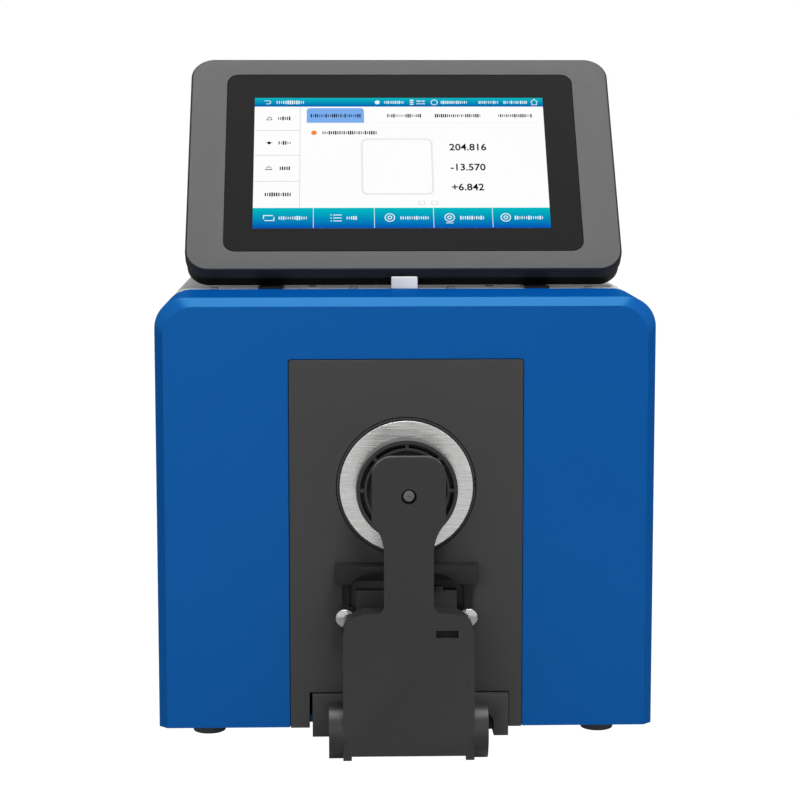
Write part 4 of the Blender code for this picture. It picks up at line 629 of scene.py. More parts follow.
domed_knob("knob_left", -KNOB_X, "left_rest_knob", "rest_knob_left")
domed_knob("knob_right", KNOB_X, "right_rest_knob", "rest_knob_right")
print("knobs", round(2000 * KNOB_RADIUS, 1), "mm across")

# %% [markdown]
# ## Repeated pieces with Geometry Nodes
# Screws, spokes, slots and coils are the same small shape many times over. A node
# tree makes them from a few named sizes, and the script turns the result into a
# plain mesh. Changing a count or a radius then changes them all.

# %% Helpers for Geometry Nodes
KINDS = {float: "NodeSocketFloat", int: "NodeSocketInt", Vector: "NodeSocketVector"}


def geometry_tree(name, **inputs):
    """An empty tree with a geometry socket at each end and a socket for each input."""
    tree = bpy.data.node_groups.new(name, "GeometryNodeTree")
    tree.interface.new_socket("Geometry", in_out="INPUT", socket_type="NodeSocketGeometry")
    for key, value in inputs.items():
        made = tree.interface.new_socket(key, in_out="INPUT", socket_type=KINDS[type(value)])
        made.default_value = value
    tree.interface.new_socket("Geometry", in_out="OUTPUT", socket_type="NodeSocketGeometry")
    return tree, node(tree, "NodeGroupInput").outputs


def close_tree(tree, geometry, finish):
    """Realize what the tree made, give it a finish and lead it out."""
    real = node(tree, "GeometryNodeRealizeInstances")
    paint = node(tree, "GeometryNodeSetMaterial")
    paint.inputs["Material"].default_value = finish
    tree.links.new(geometry, real.inputs[0])
    tree.links.new(real.outputs[0], paint.inputs["Geometry"])
    tree.links.new(paint.outputs[0], node(tree, "NodeGroupOutput").inputs[0])


def grown(tree, base=None, **values):
    """Run a tree on a mesh, with its inputs set by name, and return a plain mesh."""
    host = shown("host", base or bpy.data.meshes.new("host"))
    grow = host.modifiers.new("grow", "NODES")
    grow.node_group = tree
    for item in tree.interface.items_tree:
        if item.in_out == "INPUT" and item.name in values:
            grow[item.identifier] = values[item.name]
    mesh = evaluated(host)
    host.modifiers.remove(grow)
    bpy.data.objects.remove(host, do_unlink=True)
    return mesh


print("geometry helpers ready")

# %% A coil of wire
coil_tree, given = geometry_tree("coil_of_wire", Turns=6.0, Radius=0.003, Length=0.01, Wire=0.0005)
spiral = node(coil_tree, "GeometryNodeCurveSpiral", Resolution=24)
for socket, key in (("Rotations", "Turns"), ("Start Radius", "Radius"), ("End Radius", "Radius"),
                    ("Height", "Length")):
    coil_tree.links.new(given[key], spiral.inputs[socket])
round_wire = node(coil_tree, "GeometryNodeCurvePrimitiveCircle", Resolution=8)
coil_tree.links.new(given["Wire"], round_wire.inputs["Radius"])
sweep = node(coil_tree, "GeometryNodeCurveToMesh")
sweep.inputs["Fill Caps"].default_value = True
coil_tree.links.new(spiral.outputs[0], sweep.inputs["Curve"])
coil_tree.links.new(round_wire.outputs[0], sweep.inputs["Profile Curve"])
close_tree(coil_tree, sweep.outputs[0], dull_steel)
print("coil tree ready")

# %% [markdown]
# ## The sample arm
# The arm is a moulded cover: a square body with round shoulders, a narrow neck and
# a head. One outline carries all three, and the neck and head are only a shallow
# dish, so their rear is cut away. Round drums at the sides hold the hinge's shaft.

# %% The arm's outline
AXIS_Y, AXIS_Z = -0.0283, 0.0062
DRUM_RADIUS = 0.0134
DRUM_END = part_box("arm_cover")[1].x
ARM_HALF = 0.0313
ARM_FRONT = -0.0415
ARM_BACK = -0.0275
ARM_WALL = 0.0025
ARM_LOW = -0.0033
LUG_LOW = -0.0053
LUG_WIDTH = 0.0041
SHOULDER_Z = PORT_Z - 0.0544
SHOULDER_RADIUS = 0.0115
NECK_HALF = 0.0118
NECK_FILLET = 0.0036
HEAD_HALF = 0.01745
HEAD_TOP = PORT_Z + 0.0206
HEAD_RADIUS = 0.0096
HEAD_HEEL_Z = PORT_Z - 0.0097
HEEL_RADIUS = 0.003
HEEL_ANGLE = 40.0
DISH_BACK = -0.0367
SPINDLE = (0, 0, PORT_Z + 0.0017)
WELL_RADIUS = 0.0036
SHAFT_BORE, DRUM_CAP = 0.0028, 0.0014


def arm_outline(inset=0.0, bottom=ARM_LOW):
    """Body, shoulders, neck and head, drawn in by the inset."""
    half = ARM_HALF - inset
    shoulder = SHOULDER_Z - inset
    corner = SHOULDER_RADIUS - inset
    neck = NECK_HALF - inset
    fillet = NECK_FILLET + inset
    head = HEAD_HALF - inset
    bend = 1 - math.cos(math.radians(HEEL_ANGLE))
    sweep = (head - neck - HEEL_RADIUS * bend) / bend
    sweep_z = HEAD_HEEL_Z - (HEEL_RADIUS + sweep) * math.sin(math.radians(HEEL_ANGLE))
    right = [(half, bottom)]
    right += arc((half - corner, shoulder - corner), corner, 0, 90, 20)
    right += arc((neck + fillet, shoulder + fillet), fillet, 270, 180, 12)
    right += arc((neck + sweep, sweep_z), sweep, 180, 180 - HEEL_ANGLE, 14)
    right += arc((head - HEEL_RADIUS, HEAD_HEEL_Z), HEEL_RADIUS, -HEEL_ANGLE, 0, 6)
    right += arc((head - HEAD_RADIUS + inset, HEAD_TOP - HEAD_RADIUS), HEAD_RADIUS - inset,
                 0, 90, 18)
    return right + [(-x, z) for x, z in reversed(right)]


# %% Make the arm's cover
outer = arm_outline(0, LUG_LOW) + [(LUG_WIDTH - ARM_HALF, LUG_LOW), (LUG_WIDTH - ARM_HALF, ARM_LOW),
                                   (ARM_HALF - LUG_WIDTH, ARM_LOW), (ARM_HALF - LUG_WIDTH, LUG_LOW)]
wall = ARM_WALL + GAP
body_room = arched(ARM_HALF - wall, LUG_LOW - OVERRUN, SHOULDER_Z - wall, SHOULDER_RADIUS - wall)
HINGE_LINE = (0, AXIS_Y, AXIS_Z)
drums = [("+", rod(DRUM_RADIUS, "X", *sorted((side * (ARM_HALF - ARM_WALL / 2), side * DRUM_END)),
                   HINGE_LINE)) for side in (-1, 1)]
WINDOW = ((0.0129, 0.0235), (0.0541, 0.0577))
cover = worked(
    prism(outer, "Y", ARM_FRONT, ARM_BACK),
    ("-", block((-0.035, 0.035), (-0.0365, ARM_BACK + OVERRUN), (LUG_LOW - OVERRUN, ARM_LOW))),
    ("-", block((-ARM_HALF, ARM_HALF), (DISH_BACK, ARM_BACK + OVERRUN),
                (SHOULDER_Z + GAP, HEAD_TOP + OVERRUN))),
    ("-", prism(arm_outline(ARM_WALL, LUG_LOW - OVERRUN), "Y", ARM_FRONT + ARM_WALL,
                DISH_BACK + GAP)),
    ("-", prism(body_room, "Y", DISH_BACK - GAP, ARM_BACK + OVERRUN)),
    ("-", block(WINDOW[0], (ARM_FRONT - OVERRUN, ARM_FRONT + ARM_WALL + OVERRUN), WINDOW[1])),
    ("-", rod(WELL_RADIUS, "Y", ARM_FRONT - OVERRUN, ARM_FRONT + ARM_WALL + OVERRUN, SPINDLE)),
    *drums,
    ("-", rod(SHAFT_BORE, "X", DRUM_CAP - DRUM_END, DRUM_END - DRUM_CAP, HINGE_LINE, 48)),
)
piece("arm_shell", cover, arm_plastic, "sample_arm", 0.0003,
      instead=("arm_cover",), segments=3)
refined("arm_frame", blackened, 0.0002)
refined("hinge_bracket", panel_paint, 0.0003)
print("arm made")

# %% [markdown]
# ## The clamp disc
# The disc that presses the sample has a rim, a deep slot ring crossed by eight thin
# spokes, and a dished middle. The rim and rings are one turned profile. A node tree
# stands the spokes round a circle, and a Boolean welds them to the disc.

# %% Make the clamp disc
DISC_RADIUS = 0.0246
DISC_FRONT = -0.0140
DISC_REAR = -0.0028
DISC_WEB = DISC_REAR - 0.0030
RING_FACE = DISC_FRONT + 0.0002
profile = [(0, DISC_REAR), (DISC_RADIUS, DISC_REAR), (DISC_RADIUS, DISC_FRONT),
           (0.0227, DISC_FRONT), (0.0227, DISC_WEB), (0.0207, DISC_WEB), (0.0207, RING_FACE),
           (0.0194, RING_FACE), (0.0194, DISC_WEB), (0.0080, DISC_WEB), (0.0080, -0.0160),
           (0, -0.0160)]

spoke_tree, given = geometry_tree("ring_of_spokes", Count=8, Radius=0.0217, Length=0.0030,
                                  Width=0.0016, Depth=0.0086)
circle = node(spoke_tree, "GeometryNodeMeshCircle")
spoke_tree.links.new(given["Count"], circle.inputs["Vertices"])
spoke_tree.links.new(given["Radius"], circle.inputs["Radius"])
spoke_size = node(spoke_tree, "ShaderNodeCombineXYZ")
for axis, key in (("X", "Length"), ("Y", "Width"), ("Z", "Depth")):
    spoke_tree.links.new(given[key], spoke_size.inputs[axis])
spoke = node(spoke_tree, "GeometryNodeMeshCube")
spoke_tree.links.new(spoke_size.outputs[0], spoke.inputs["Size"])
stand = node(spoke_tree, "GeometryNodeInstanceOnPoints")
outward = node(spoke_tree, "FunctionNodeAlignRotationToVector", axis="X")
spoke_tree.links.new(node(spoke_tree, "GeometryNodeInputPosition").outputs[0],
                     outward.inputs["Vector"])
spoke_tree.links.new(circle.outputs[0], stand.inputs["Points"])
spoke_tree.links.new(spoke.outputs[0], stand.inputs["Instance"])
spoke_tree.links.new(outward.outputs[0], stand.inputs["Rotation"])
close_tree(spoke_tree, stand.outputs[0], disc_black)
spokes = bmesh.new()
spokes.from_mesh(grown(spoke_tree, Count=8))
SPOKE_MIDDLE = (RING_FACE + DISC_WEB + 0.0006) / 2
spokes.transform(Matrix.Translation((0, SPOKE_MIDDLE, PORT_Z))
                 @ Matrix.Rotation(math.pi / 2, 4, "X"))
disc = worked(turned(profile, "Y", PORT, 128), ("+", spokes))
piece("pressure_disc", disc, disc_black, "clamp", 0.0002,
      instead=("clamp_disc",))
print("disc with 8 spokes")

# %% [markdown]
# ## Screw, spindle and springs
# A small cross-head screw in the arm's head holds the disc's spindle. Behind it a
# coil spring pushes the disc out. Two more coils on the hinge's shaft close the
# arm. All three coils come from the coil tree: a spiral swept with round wire.

# %% Make the screw, the spindle and the coils
screw_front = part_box("clamp_screw")[0].y - face_y
screw_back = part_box("clamp_screw")[1].y - face_y
CROSS, SLIT, CROSS_DEPTH = 0.0009, 0.0005, 0.0008
head = worked(
    turned([(0, screw_back), (0.0028, screw_back), (0.0028, screw_front + 0.0003),
            (0.0026, screw_front + 0.0001), (0.0012, screw_front), (0, screw_front)],
           "Y", SPINDLE, 48),
    *(("-", block((-a, a), (screw_front - OVERRUN, screw_front + CROSS_DEPTH),
                  (SPINDLE[2] - b, SPINDLE[2] + b)))
      for a, b in ((CROSS, SLIT / 2), (SLIT / 2, CROSS))),
)
piece("spindle_screw", head, screw_steel, "clamp", 0.00008,
      instead=("clamp_screw",))
refined("clamp_spindle", dull_steel, 0.0001)
refined("arm_hinge_shaft", dull_steel, 0.0002)


def coil(name, body, turns, radius, wire, length, place, stands_for):
    mesh = grown(coil_tree, Turns=turns, Radius=radius, Length=length, Wire=wire)
    return piece(name, mesh, dull_steel, body, 0, INSTRUMENT @ place,
                 (stands_for,))


spring_lo, spring_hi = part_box("clamp_spring")
SPRING_LENGTH = spring_hi.y - spring_lo.y
SPRING_OUTER = spring_hi.x
WIRE = 0.0005
clamp_coil = coil("clamp_coil", "sample_arm", 6.0, SPRING_OUTER - WIRE - 0.0001, WIRE,
                  SPRING_LENGTH - 2 * WIRE - 0.0002,
                  Matrix.Translation((0, spring_hi.y - face_y - WIRE - 0.0001, SPINDLE[2]))
                  @ Matrix.Rotation(math.pi / 2, 4, "X"), "clamp_spring")
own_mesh(clamp_coil)
for side in ("left", "right"):
    low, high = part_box("torsion_spring_" + side)
    coil("closing_coil_" + side, "instrument", 4.0, high.z - sole_z - AXIS_Z - 0.0006, 0.0005,
         high.x - low.x - 0.0012,
         Matrix.Translation((low.x + 0.0006, AXIS_Y, AXIS_Z))
         @ Matrix.Rotation(math.pi / 2, 4, "Y"),
         "torsion_spring_" + side)
print("screw, spindle and three coils made")

# %% [markdown]
# ## The case
# Behind the frame a folded steel cover, painted light grey, runs back over the
# works. It is the same gate outline, a touch narrower, with an opening for the
# sample compartment. Screws hold it down near the front. They are one small
# cross-head, drawn once and stood on points by a node tree.

# %% Make the cover and the base
cover_lo, cover_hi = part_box("top_cover")
COVER_HALF = cover_hi.x
COVER_TOP = cover_hi.z - sole_z
COVER_START = cover_lo.y - face_y
COVER_STOP = cover_hi.y - face_y
COVER_RADIUS = 0.0134
COVER_WALL = 0.0025
CHAMBER = ((-0.058, 0.058), (0.2230, 0.3030))
sheet = worked(
    prism(arched(COVER_HALF, 0, COVER_TOP, COVER_RADIUS), "Y", COVER_START, COVER_STOP),
    ("-", prism(arched(COVER_HALF - COVER_WALL, -OVERRUN, COVER_TOP - COVER_WALL,
                       COVER_RADIUS - COVER_WALL), "Y", COVER_START - OVERRUN,
                COVER_STOP + OVERRUN)),
    ("-", block(*CHAMBER, (COVER_TOP - 2 * COVER_WALL, COVER_TOP + OVERRUN))),
)
piece("case_cover", sheet, grey_paint, "instrument", 0.0003,
      instead=("top_cover",))
refined("base_plate", zinc_plate, 0.0003)
print("cover", round(COVER_STOP - COVER_START, 4), "m long")

# %% A screw head to copy
SCREW_RADIUS = 0.0022
HEAD_HEIGHT = 0.0009


def screw_head():
    """A low round head with a cross cut into it, its axis along Z."""
    dome = turned([(0, -0.0002), (SCREW_RADIUS, -0.0002), (SCREW_RADIUS, 0.0003),
                   (0.0021, 0.0007), (0.0012, HEAD_HEIGHT), (0, HEAD_HEIGHT)], "Z", (0, 0, 0), 28)
    deep = (HEAD_HEIGHT - 0.0006, HEAD_HEIGHT + OVERRUN)
    shape = worked(dome, ("-", block((-0.0014, 0.0014), (-0.00025, 0.00025), deep)),
                   ("-", block((-0.00025, 0.00025), (-0.0014, 0.0014), deep)))
    mesh = mesh_of("screw_head", shape)
    mesh.shade_smooth()
    mesh.set_sharp_from_angle(angle=EDGE_ANGLE)
    return shown("screw_head", mesh)


screw_model = screw_head()
screw_tree, given = geometry_tree("screws_on_points", Size=1.0)
model = node(screw_tree, "GeometryNodeObjectInfo")
model.inputs["Object"].default_value = screw_model
model.inputs["As Instance"].default_value = True
spin = node(screw_tree, "FunctionNodeRandomValue", data_type="FLOAT_VECTOR")
spin.inputs["Max"].default_value = (0, 0, math.tau)
spin.inputs["Seed"].default_value = 4
set_down = node(screw_tree, "GeometryNodeInstanceOnPoints")
screw_tree.links.new(given["Geometry"], set_down.inputs["Points"])
screw_tree.links.new(model.outputs["Geometry"], set_down.inputs["Instance"])
screw_tree.links.new(spin.outputs["Value"], set_down.inputs["Rotation"])
screw_tree.links.new(given["Size"], set_down.inputs["Scale"])
close_tree(screw_tree, set_down.outputs[0], zinc_plate)


def screws(name, spots, body, place, finish):
    """Screws that stand on a list of spots, their axes along the place's Z."""
    points = bpy.data.meshes.new(name)
    points.from_pydata(spots, [], [])
    return piece(name, grown(screw_tree, points, Size=1.0), finish, body, 0, place)


TOP_FACE = INSTRUMENT @ Matrix.Translation((0, 0, COVER_TOP + 0.0002))
screws("cover_screws", [(x, 0.0655, 0) for x in (-0.0960, -0.025, 0.025, 0.0960)], "instrument",
       TOP_FACE, screw_steel)
print("cover screws set")

# %% [markdown]
# The rear panel has eight vent slots in a row. The node tree stands slot cutters
# along a line, and one Boolean takes them all out. Its screws are the same as the
# cover's.

# %% Make the rear panel, its vents and screws
REAR_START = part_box("rear_panel")[0].y - face_y
REAR_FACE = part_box("rear_panel")[1].y - face_y
VENT_X, VENT_PITCH, VENT_WIDTH = 0.0600, 0.0085, 0.0035
VENT_LOW, VENT_HIGH = 0.0650, 0.1010

slot_model = shown("slot_cutter", mesh_of("slot_cutter", prism(
    rounded((-VENT_WIDTH / 2, VENT_WIDTH / 2), (VENT_LOW, VENT_HIGH), VENT_WIDTH / 2, 10),
    "Y", REAR_START - OVERRUN, REAR_FACE + OVERRUN)))
row_tree, given = geometry_tree("row_of_slots", Count=8, Pitch=0.0085, Start=0.0)
line = node(row_tree, "GeometryNodeMeshLine")
step_out = node(row_tree, "ShaderNodeCombineXYZ")
first = node(row_tree, "ShaderNodeCombineXYZ")
row_tree.links.new(given["Count"], line.inputs["Count"])
row_tree.links.new(given["Pitch"], step_out.inputs["X"])
row_tree.links.new(given["Start"], first.inputs["X"])
row_tree.links.new(step_out.outputs[0], line.inputs["Offset"])
row_tree.links.new(first.outputs[0], line.inputs["Start Location"])
copy_of = node(row_tree, "GeometryNodeObjectInfo")
copy_of.inputs["Object"].default_value = slot_model
copy_of.inputs["As Instance"].default_value = True
row = node(row_tree, "GeometryNodeInstanceOnPoints")
row_tree.links.new(line.outputs[0], row.inputs["Points"])
row_tree.links.new(copy_of.outputs["Geometry"], row.inputs["Instance"])
close_tree(row_tree, row.outputs[0], grey_paint)
vents = bmesh.new()
vents.from_mesh(grown(row_tree, Count=8, Pitch=VENT_PITCH, Start=VENT_X - 3.5 * VENT_PITCH))

SOCKETS = ("power_inlet", "rocker_frame", "usb_socket", "serial_socket")
sheet = prism(arched(COVER_HALF, 0, COVER_TOP, COVER_RADIUS), "Y", REAR_START, REAR_FACE)
holes = []
for solid in SOCKETS:
    low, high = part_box(solid)
    holes.append(("-", block((low.x - GAP, high.x + GAP),
                             (REAR_START - OVERRUN, REAR_FACE + OVERRUN),
                             (low.z - sole_z - GAP, high.z - sole_z + GAP))))
piece("back_panel", worked(sheet, ("-", vents), *holes), grey_paint, "instrument", 0.0003,
      instead=("rear_panel",))
BACK_FACE = (INSTRUMENT @ Matrix.Translation((0, REAR_FACE + 0.0002, 0))
             @ Matrix.Rotation(-math.pi / 2, 4, "X"))
screws("panel_screws", [(x, -z, 0) for x in (-0.112, 0.112) for z in (0.008, 0.105, 0.196)]
       + [(x, -0.204, 0) for x in (-0.04, 0.04)],
       "instrument", BACK_FACE, screw_steel)
print("rear panel with", len(holes), "socket holes")

# %% [markdown]
# ## Feet
# Four turned rubber feet carry the case. Each is a short cone with a round rim.

# %% Make the feet
foot_profile = [(0, -GAP), (0.0087, -GAP), (0.0083, -0.0116), (0.0081, -0.0122), (0.0075, -0.0125),
                (0.0030, -0.0125), (0.0030, -0.0105), (0, -0.0105)]
for solid in ("foot_front_left", "foot_front_right", "foot_rear_left", "foot_rear_right"):
    low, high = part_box(solid)
    spot = ((low.x + high.x) / 2, (low.y + high.y) / 2 - face_y, 0)
    piece(solid.replace("foot", "rubber"), turned(foot_profile, "Z", spot, 64), foot_rubber,
          "instrument", 0, instead=(solid,))
print("four feet")

# %% [markdown]
# ## The display
# The display leans back 38.85 degrees. It is drawn flat, as if on a table: X
# across, Y back from its face, Z up the face. One matrix then leans it and carries
# it to its hinge, so every later detail can be read straight off a drawing.

# %% Where the display stands
TILT = math.radians(38.85)
HEAD = (INSTRUMENT @ Matrix.Translation((0.0011, 0.0617, COVER_TOP + 0.0110))
        @ Matrix.Rotation(-TILT, 4, "X"))
HEAD_W, HEAD_LOW, HEAD_H, HEAD_R = 0.2244 / 2, -0.0013, 0.1383, 0.0125
BEZEL_DEPTH, BEZEL_EDGE = 0.0070, 0.0013
SHELL_DEPTH, SHELL_INSET, SHELL_ROUND, SHELL_WALL = 0.0149, 0.0006, 0.0008, 0.0024
GLASS_W, GLASS_LOW, GLASS_HIGH, GLASS_R = 0.1850 / 2, 0.0106, 0.0106 + 0.11645, 0.0060
GLASS_THICK = 0.0015


def outline(inset):
    return rounded((inset - HEAD_W, HEAD_W - inset), (HEAD_LOW + inset, HEAD_H - inset),
                   HEAD_R - inset, 20)


def pane(grow):
    return rounded((-GLASS_W - grow, GLASS_W + grow), (GLASS_LOW - grow, GLASS_HIGH + grow),
                   GLASS_R + grow, 16)


# %% Make the bezel, the glass and the back shell
def softened(inset, start, stop, radius, turn):
    """Outlines that roll over a rounded edge, from the face to the side or back."""
    rings = []
    for i in range(7):
        angle = math.pi / 2 * i / 6
        out = radius * (1 - math.sin(angle)) if turn > 0 else radius * (1 - math.cos(angle))
        deep = radius * (1 - math.cos(angle)) if turn > 0 else -radius * (1 - math.sin(angle))
        rings.append(lift(outline(inset + out), "Y", (start if turn > 0 else stop) + deep))
    return rings


LCD_W, LCD_H, LCD_THICK = 0.1641 / 2, 0.0959 / 2, 0.0027
MIDDLE_S = (GLASS_LOW + GLASS_HIGH) / 2
frame_front = loft(softened(0, 0, 0, BEZEL_EDGE, 1) + [lift(outline(0), "Y", BEZEL_DEPTH)])
frame_front = worked(
    frame_front,
    ("-", prism(pane(GAP), "Y", -OVERRUN, GLASS_THICK + GAP)),
    ("-", prism(rounded((-LCD_W - GAP, LCD_W + GAP),
                        (MIDDLE_S - LCD_H - GAP, MIDDLE_S + LCD_H + GAP), 0.001),
                "Y", 0, GLASS_THICK + GAP + LCD_THICK + OVERRUN)),
    ("-", prism(outline(SHELL_WALL), "Y", GLASS_THICK + GAP + LCD_THICK,
                BEZEL_DEPTH + OVERRUN)),
)
display_frame = piece("display_frame", frame_front, display_grey, "display_head", 0, HEAD,
                      instead=("display_bezel",))
# Every bezel face that doesn't face straight out, the sides and the rounded edge, gets the darker
# copy of the grey: painted shade.
display_frame.data.materials.append(display_edge)
FLAT_ENOUGH = 0.98
FACING = (HEAD.to_3x3() @ Vector((0, -1, 0))).normalized()
for face in display_frame.data.polygons:
    face.material_index = 0 if face.normal.dot(FACING) > FLAT_ENOUGH else 1
shell_start = BEZEL_DEPTH + GAP
shell = loft([lift(outline(SHELL_INSET), "Y", shell_start)]
             + softened(SHELL_INSET, 0, SHELL_DEPTH, SHELL_ROUND, -1))
shell = worked(shell, ("-", prism(outline(SHELL_WALL + SHELL_INSET), "Y",
                                  shell_start - OVERRUN, SHELL_DEPTH - SHELL_WALL)))
piece("display_shell", shell, shell_black, "display_head", 0.0002, HEAD,
      instead=("display_back_shell",))
print("display frame and shell made")

# %% Make the glass, the hinges and the duct
screen_glass, tree, shader = shader_of("cover_glass", specular=0.035)
smear = pattern(tree, 45.0, detail=4.0)
tree.links.new(between(tree, smear, 0.035, 0.075), shader.inputs["Roughness"])
tree.links.new(blend_colours(tree, smear, linear(15, 15, 15), linear(17, 17, 17)),
               shader.inputs["Base Color"])
piece("screen_glass", prism(pane(0), "Y", 0, GLASS_THICK), screen_glass, "display_head", 0.00015,
      HEAD, instead=("display_glass",))
for side in ("left", "right"):
    refined("display_foot_" + side, black_plastic, 0.0002)
    refined("display_leaf_" + side, blackened, 0.0002)
refined("cable_duct", grey_paint, 0.0005, 3)
print("glass, hinges and duct made")

# %% [markdown]
# ## The picture on the screen
# The screen shows a plain measuring page: a bar of small signs on top, a column of
# choices, four tabs, a swatch, three numbers and a row of five buttons. Words are
# left out. In their place stand rows of small strokes, which read as lines of print
# from afar. Each colour is one sheet of light a twentieth of a millimetre thick, and
# later sheets lie higher, so nothing flickers.

# %% Light sheets
SHEET = 0.00005
INK = {}


def glowing(name, low, high=None, span=None, strength=1.0):
    """A lit colour with slightly uneven backlight. With a span it fades up the face."""
    made, tree, shader = shader_of(name, specular=0.0, roughness=0.3)
    shader.inputs["Base Color"].default_value = (0, 0, 0, 1)
    shader.inputs["Emission Strength"].default_value = strength
    if high is None:
        uneven = pattern(tree, 12.0)
        dim = tuple(part * 0.985 for part in low[:3]) + (1.0,)
        tree.links.new(blend_colours(tree, uneven, dim, low), shader.inputs["Emission Color"])
        return made
    where = node(tree, "ShaderNodeTexCoord")
    split = node(tree, "ShaderNodeSeparateXYZ")
    up = [(HEAD @ Vector((0, 0, s))).z for s in span]
    fade = node(tree, "ShaderNodeMapRange", From_Min=up[0], From_Max=up[1])
    tree.links.new(where.outputs["Object"], split.inputs[0])
    tree.links.new(split.outputs["Z"], fade.inputs["Value"])
    tree.links.new(blend_colours(tree, fade.outputs[0], low, high), shader.inputs["Emission Color"])
    return made


def ink(sheet, level, *shapes):
    """Collect shapes for one sheet of light. The level says how high it lies."""
    held = INK.setdefault((sheet.name, level), (sheet, bmesh.new()))[1]
    for shape in shapes:
        held.from_mesh(mesh_of("ink", shape))


def mm(*pairs):
    return [(a / 1000, b / 1000) for a, b in pairs]


def slab(level, points):
    return prism(mm(*points), "Y", -level * SHEET, 0.00002)


def bar(level, x0, x1, s0, s1):
    return slab(level, [(x0, s0), (x1, s0), (x1, s1), (x0, s1)])


def soft_bar(level, x0, x1, s0, s1, radius):
    return slab(level, rounded((x0, x1), (s0, s1), radius, 8))


def dot(level, x, s, radius):
    return slab(level, arc((x, s), radius, 0, 345, 23))


def hoop_of(level, x, s, outer, inner):
    profile = [(inner / 1000, -level * SHEET), (outer / 1000, -level * SHEET),
               (outer / 1000, 0.00002), (inner / 1000, 0.00002)]
    return turned(profile, "Y", (x / 1000, 0, s / 1000), 28)


def stroke(level, width, *points):
    """Straight strokes from point to point."""
    shapes = []
    for (x0, s0), (x1, s1) in zip(points, points[1:]):
        long = math.hypot(x1 - x0, s1 - s0)
        a, b = (x1 - x0) / long * width / 2, (s1 - s0) / long * width / 2
        shapes.append(slab(level, [(x0 - a + b, s0 - b - a), (x1 + a + b, s1 + b - a),
                                   (x1 + a - b, s1 + b + a), (x0 - a - b, s0 - b + a)]))
    return shapes


print("one sheet is", SHEET * 1000, "mm")

# %% Rows of strokes that stand in for print
print_tree, given = geometry_tree("row_of_strokes", Count=10, Pitch=0.0008, Height=0.0016,
                                  Thick=0.0001, Seed=1)
places = node(print_tree, "GeometryNodeMeshLine")
pitch = node(print_tree, "ShaderNodeCombineXYZ")
print_tree.links.new(given["Pitch"], pitch.inputs["X"])
print_tree.links.new(pitch.outputs[0], places.inputs["Offset"])
print_tree.links.new(given["Count"], places.inputs["Count"])
tall = node(print_tree, "FunctionNodeRandomValue", data_type="FLOAT")
tall.inputs[2].default_value, tall.inputs[3].default_value = 0.55, 1.0
wide = node(print_tree, "FunctionNodeRandomValue", data_type="FLOAT")
wide.inputs[2].default_value, wide.inputs[3].default_value = 0.30, 0.72
for chance in (tall, wide):
    print_tree.links.new(given["Seed"], chance.inputs["Seed"])
sizes = []
for source, factor in ((given["Pitch"], wide.outputs[1]), (given["Height"], tall.outputs[1])):
    times = node(print_tree, "ShaderNodeMath", operation="MULTIPLY")
    print_tree.links.new(source, times.inputs[0])
    print_tree.links.new(factor, times.inputs[1])
    sizes.append(times.outputs[0])
scale = node(print_tree, "ShaderNodeCombineXYZ")
print_tree.links.new(sizes[0], scale.inputs["X"])
print_tree.links.new(given["Thick"], scale.inputs["Y"])
print_tree.links.new(sizes[1], scale.inputs["Z"])
unit = node(print_tree, "GeometryNodeMeshCube")
sown = node(print_tree, "GeometryNodeInstanceOnPoints")
print_tree.links.new(places.outputs[0], sown.inputs["Points"])
print_tree.links.new(unit.outputs[0], sown.inputs["Instance"])
print_tree.links.new(scale.outputs[0], sown.inputs["Scale"])
close_tree(print_tree, sown.outputs[0], grey_paint)
rows_printed = 0


def strokes(level, x0, x1, s, height=1.7):
    """A row of strokes from x0 to x1, its middle at s, all in millimetres."""
    global rows_printed
    rows_printed += 1
    step = 0.45 * height
    count = max(2, round((x1 - x0) / step))
    shape = bmesh.new()
    shape.from_mesh(grown(print_tree, Count=count, Pitch=step / 1000, Height=height / 1000,
                          Thick=2 * level * SHEET, Seed=rows_printed))
    shape.transform(Matrix.Translation(((x0 + step / 2) / 1000, 0, s / 1000)))
    return shape


BOLD = 0.00010


def figures(level, text, x, s, height):
    """Plain figures from the built-in font, their lower left corner at x and s."""
    font = bpy.data.curves.new("figures", "FONT")
    font.body = text
    font.size = height / 1000 / 0.7
    font.extrude = level * SHEET
    font.resolution_u = 3
    font.offset = BOLD
    shape = bmesh.new()
    holder = shown("figures", font)
    shape.from_mesh(evaluated(holder))
    bpy.data.objects.remove(holder, do_unlink=True)
    bmesh.ops.remove_doubles(shape, verts=shape.verts, dist=1e-7)
    shape.transform(Matrix.Translation((x / 1000, 0, s / 1000))
                    @ Matrix.Rotation(math.pi / 2, 4, "X"))
    return shape


print("print tree ready")

# %% Draw the page
page_white = glowing("page_white", linear(254, 254, 254))
header_fade = glowing("header_fade", linear(0, 92, 176), linear(10, 184, 195), (0.1052, 0.1111))
footer_fade = glowing("footer_fade", linear(4, 88, 182), linear(2, 186, 194), (0.0255, 0.0379))
tab_blue = glowing("tab_blue", linear(125, 174, 238))
line_grey = glowing("line_grey", linear(196, 196, 200))
rim_grey = glowing("rim_grey", linear(226, 226, 228))
soft_grey = glowing("soft_grey", linear(241, 241, 242))
print_dark = glowing("print_dark", linear(18, 18, 22))
sign_white = glowing("sign_white", linear(232, 246, 252))
sign_orange = glowing("sign_orange", linear(236, 140, 62))

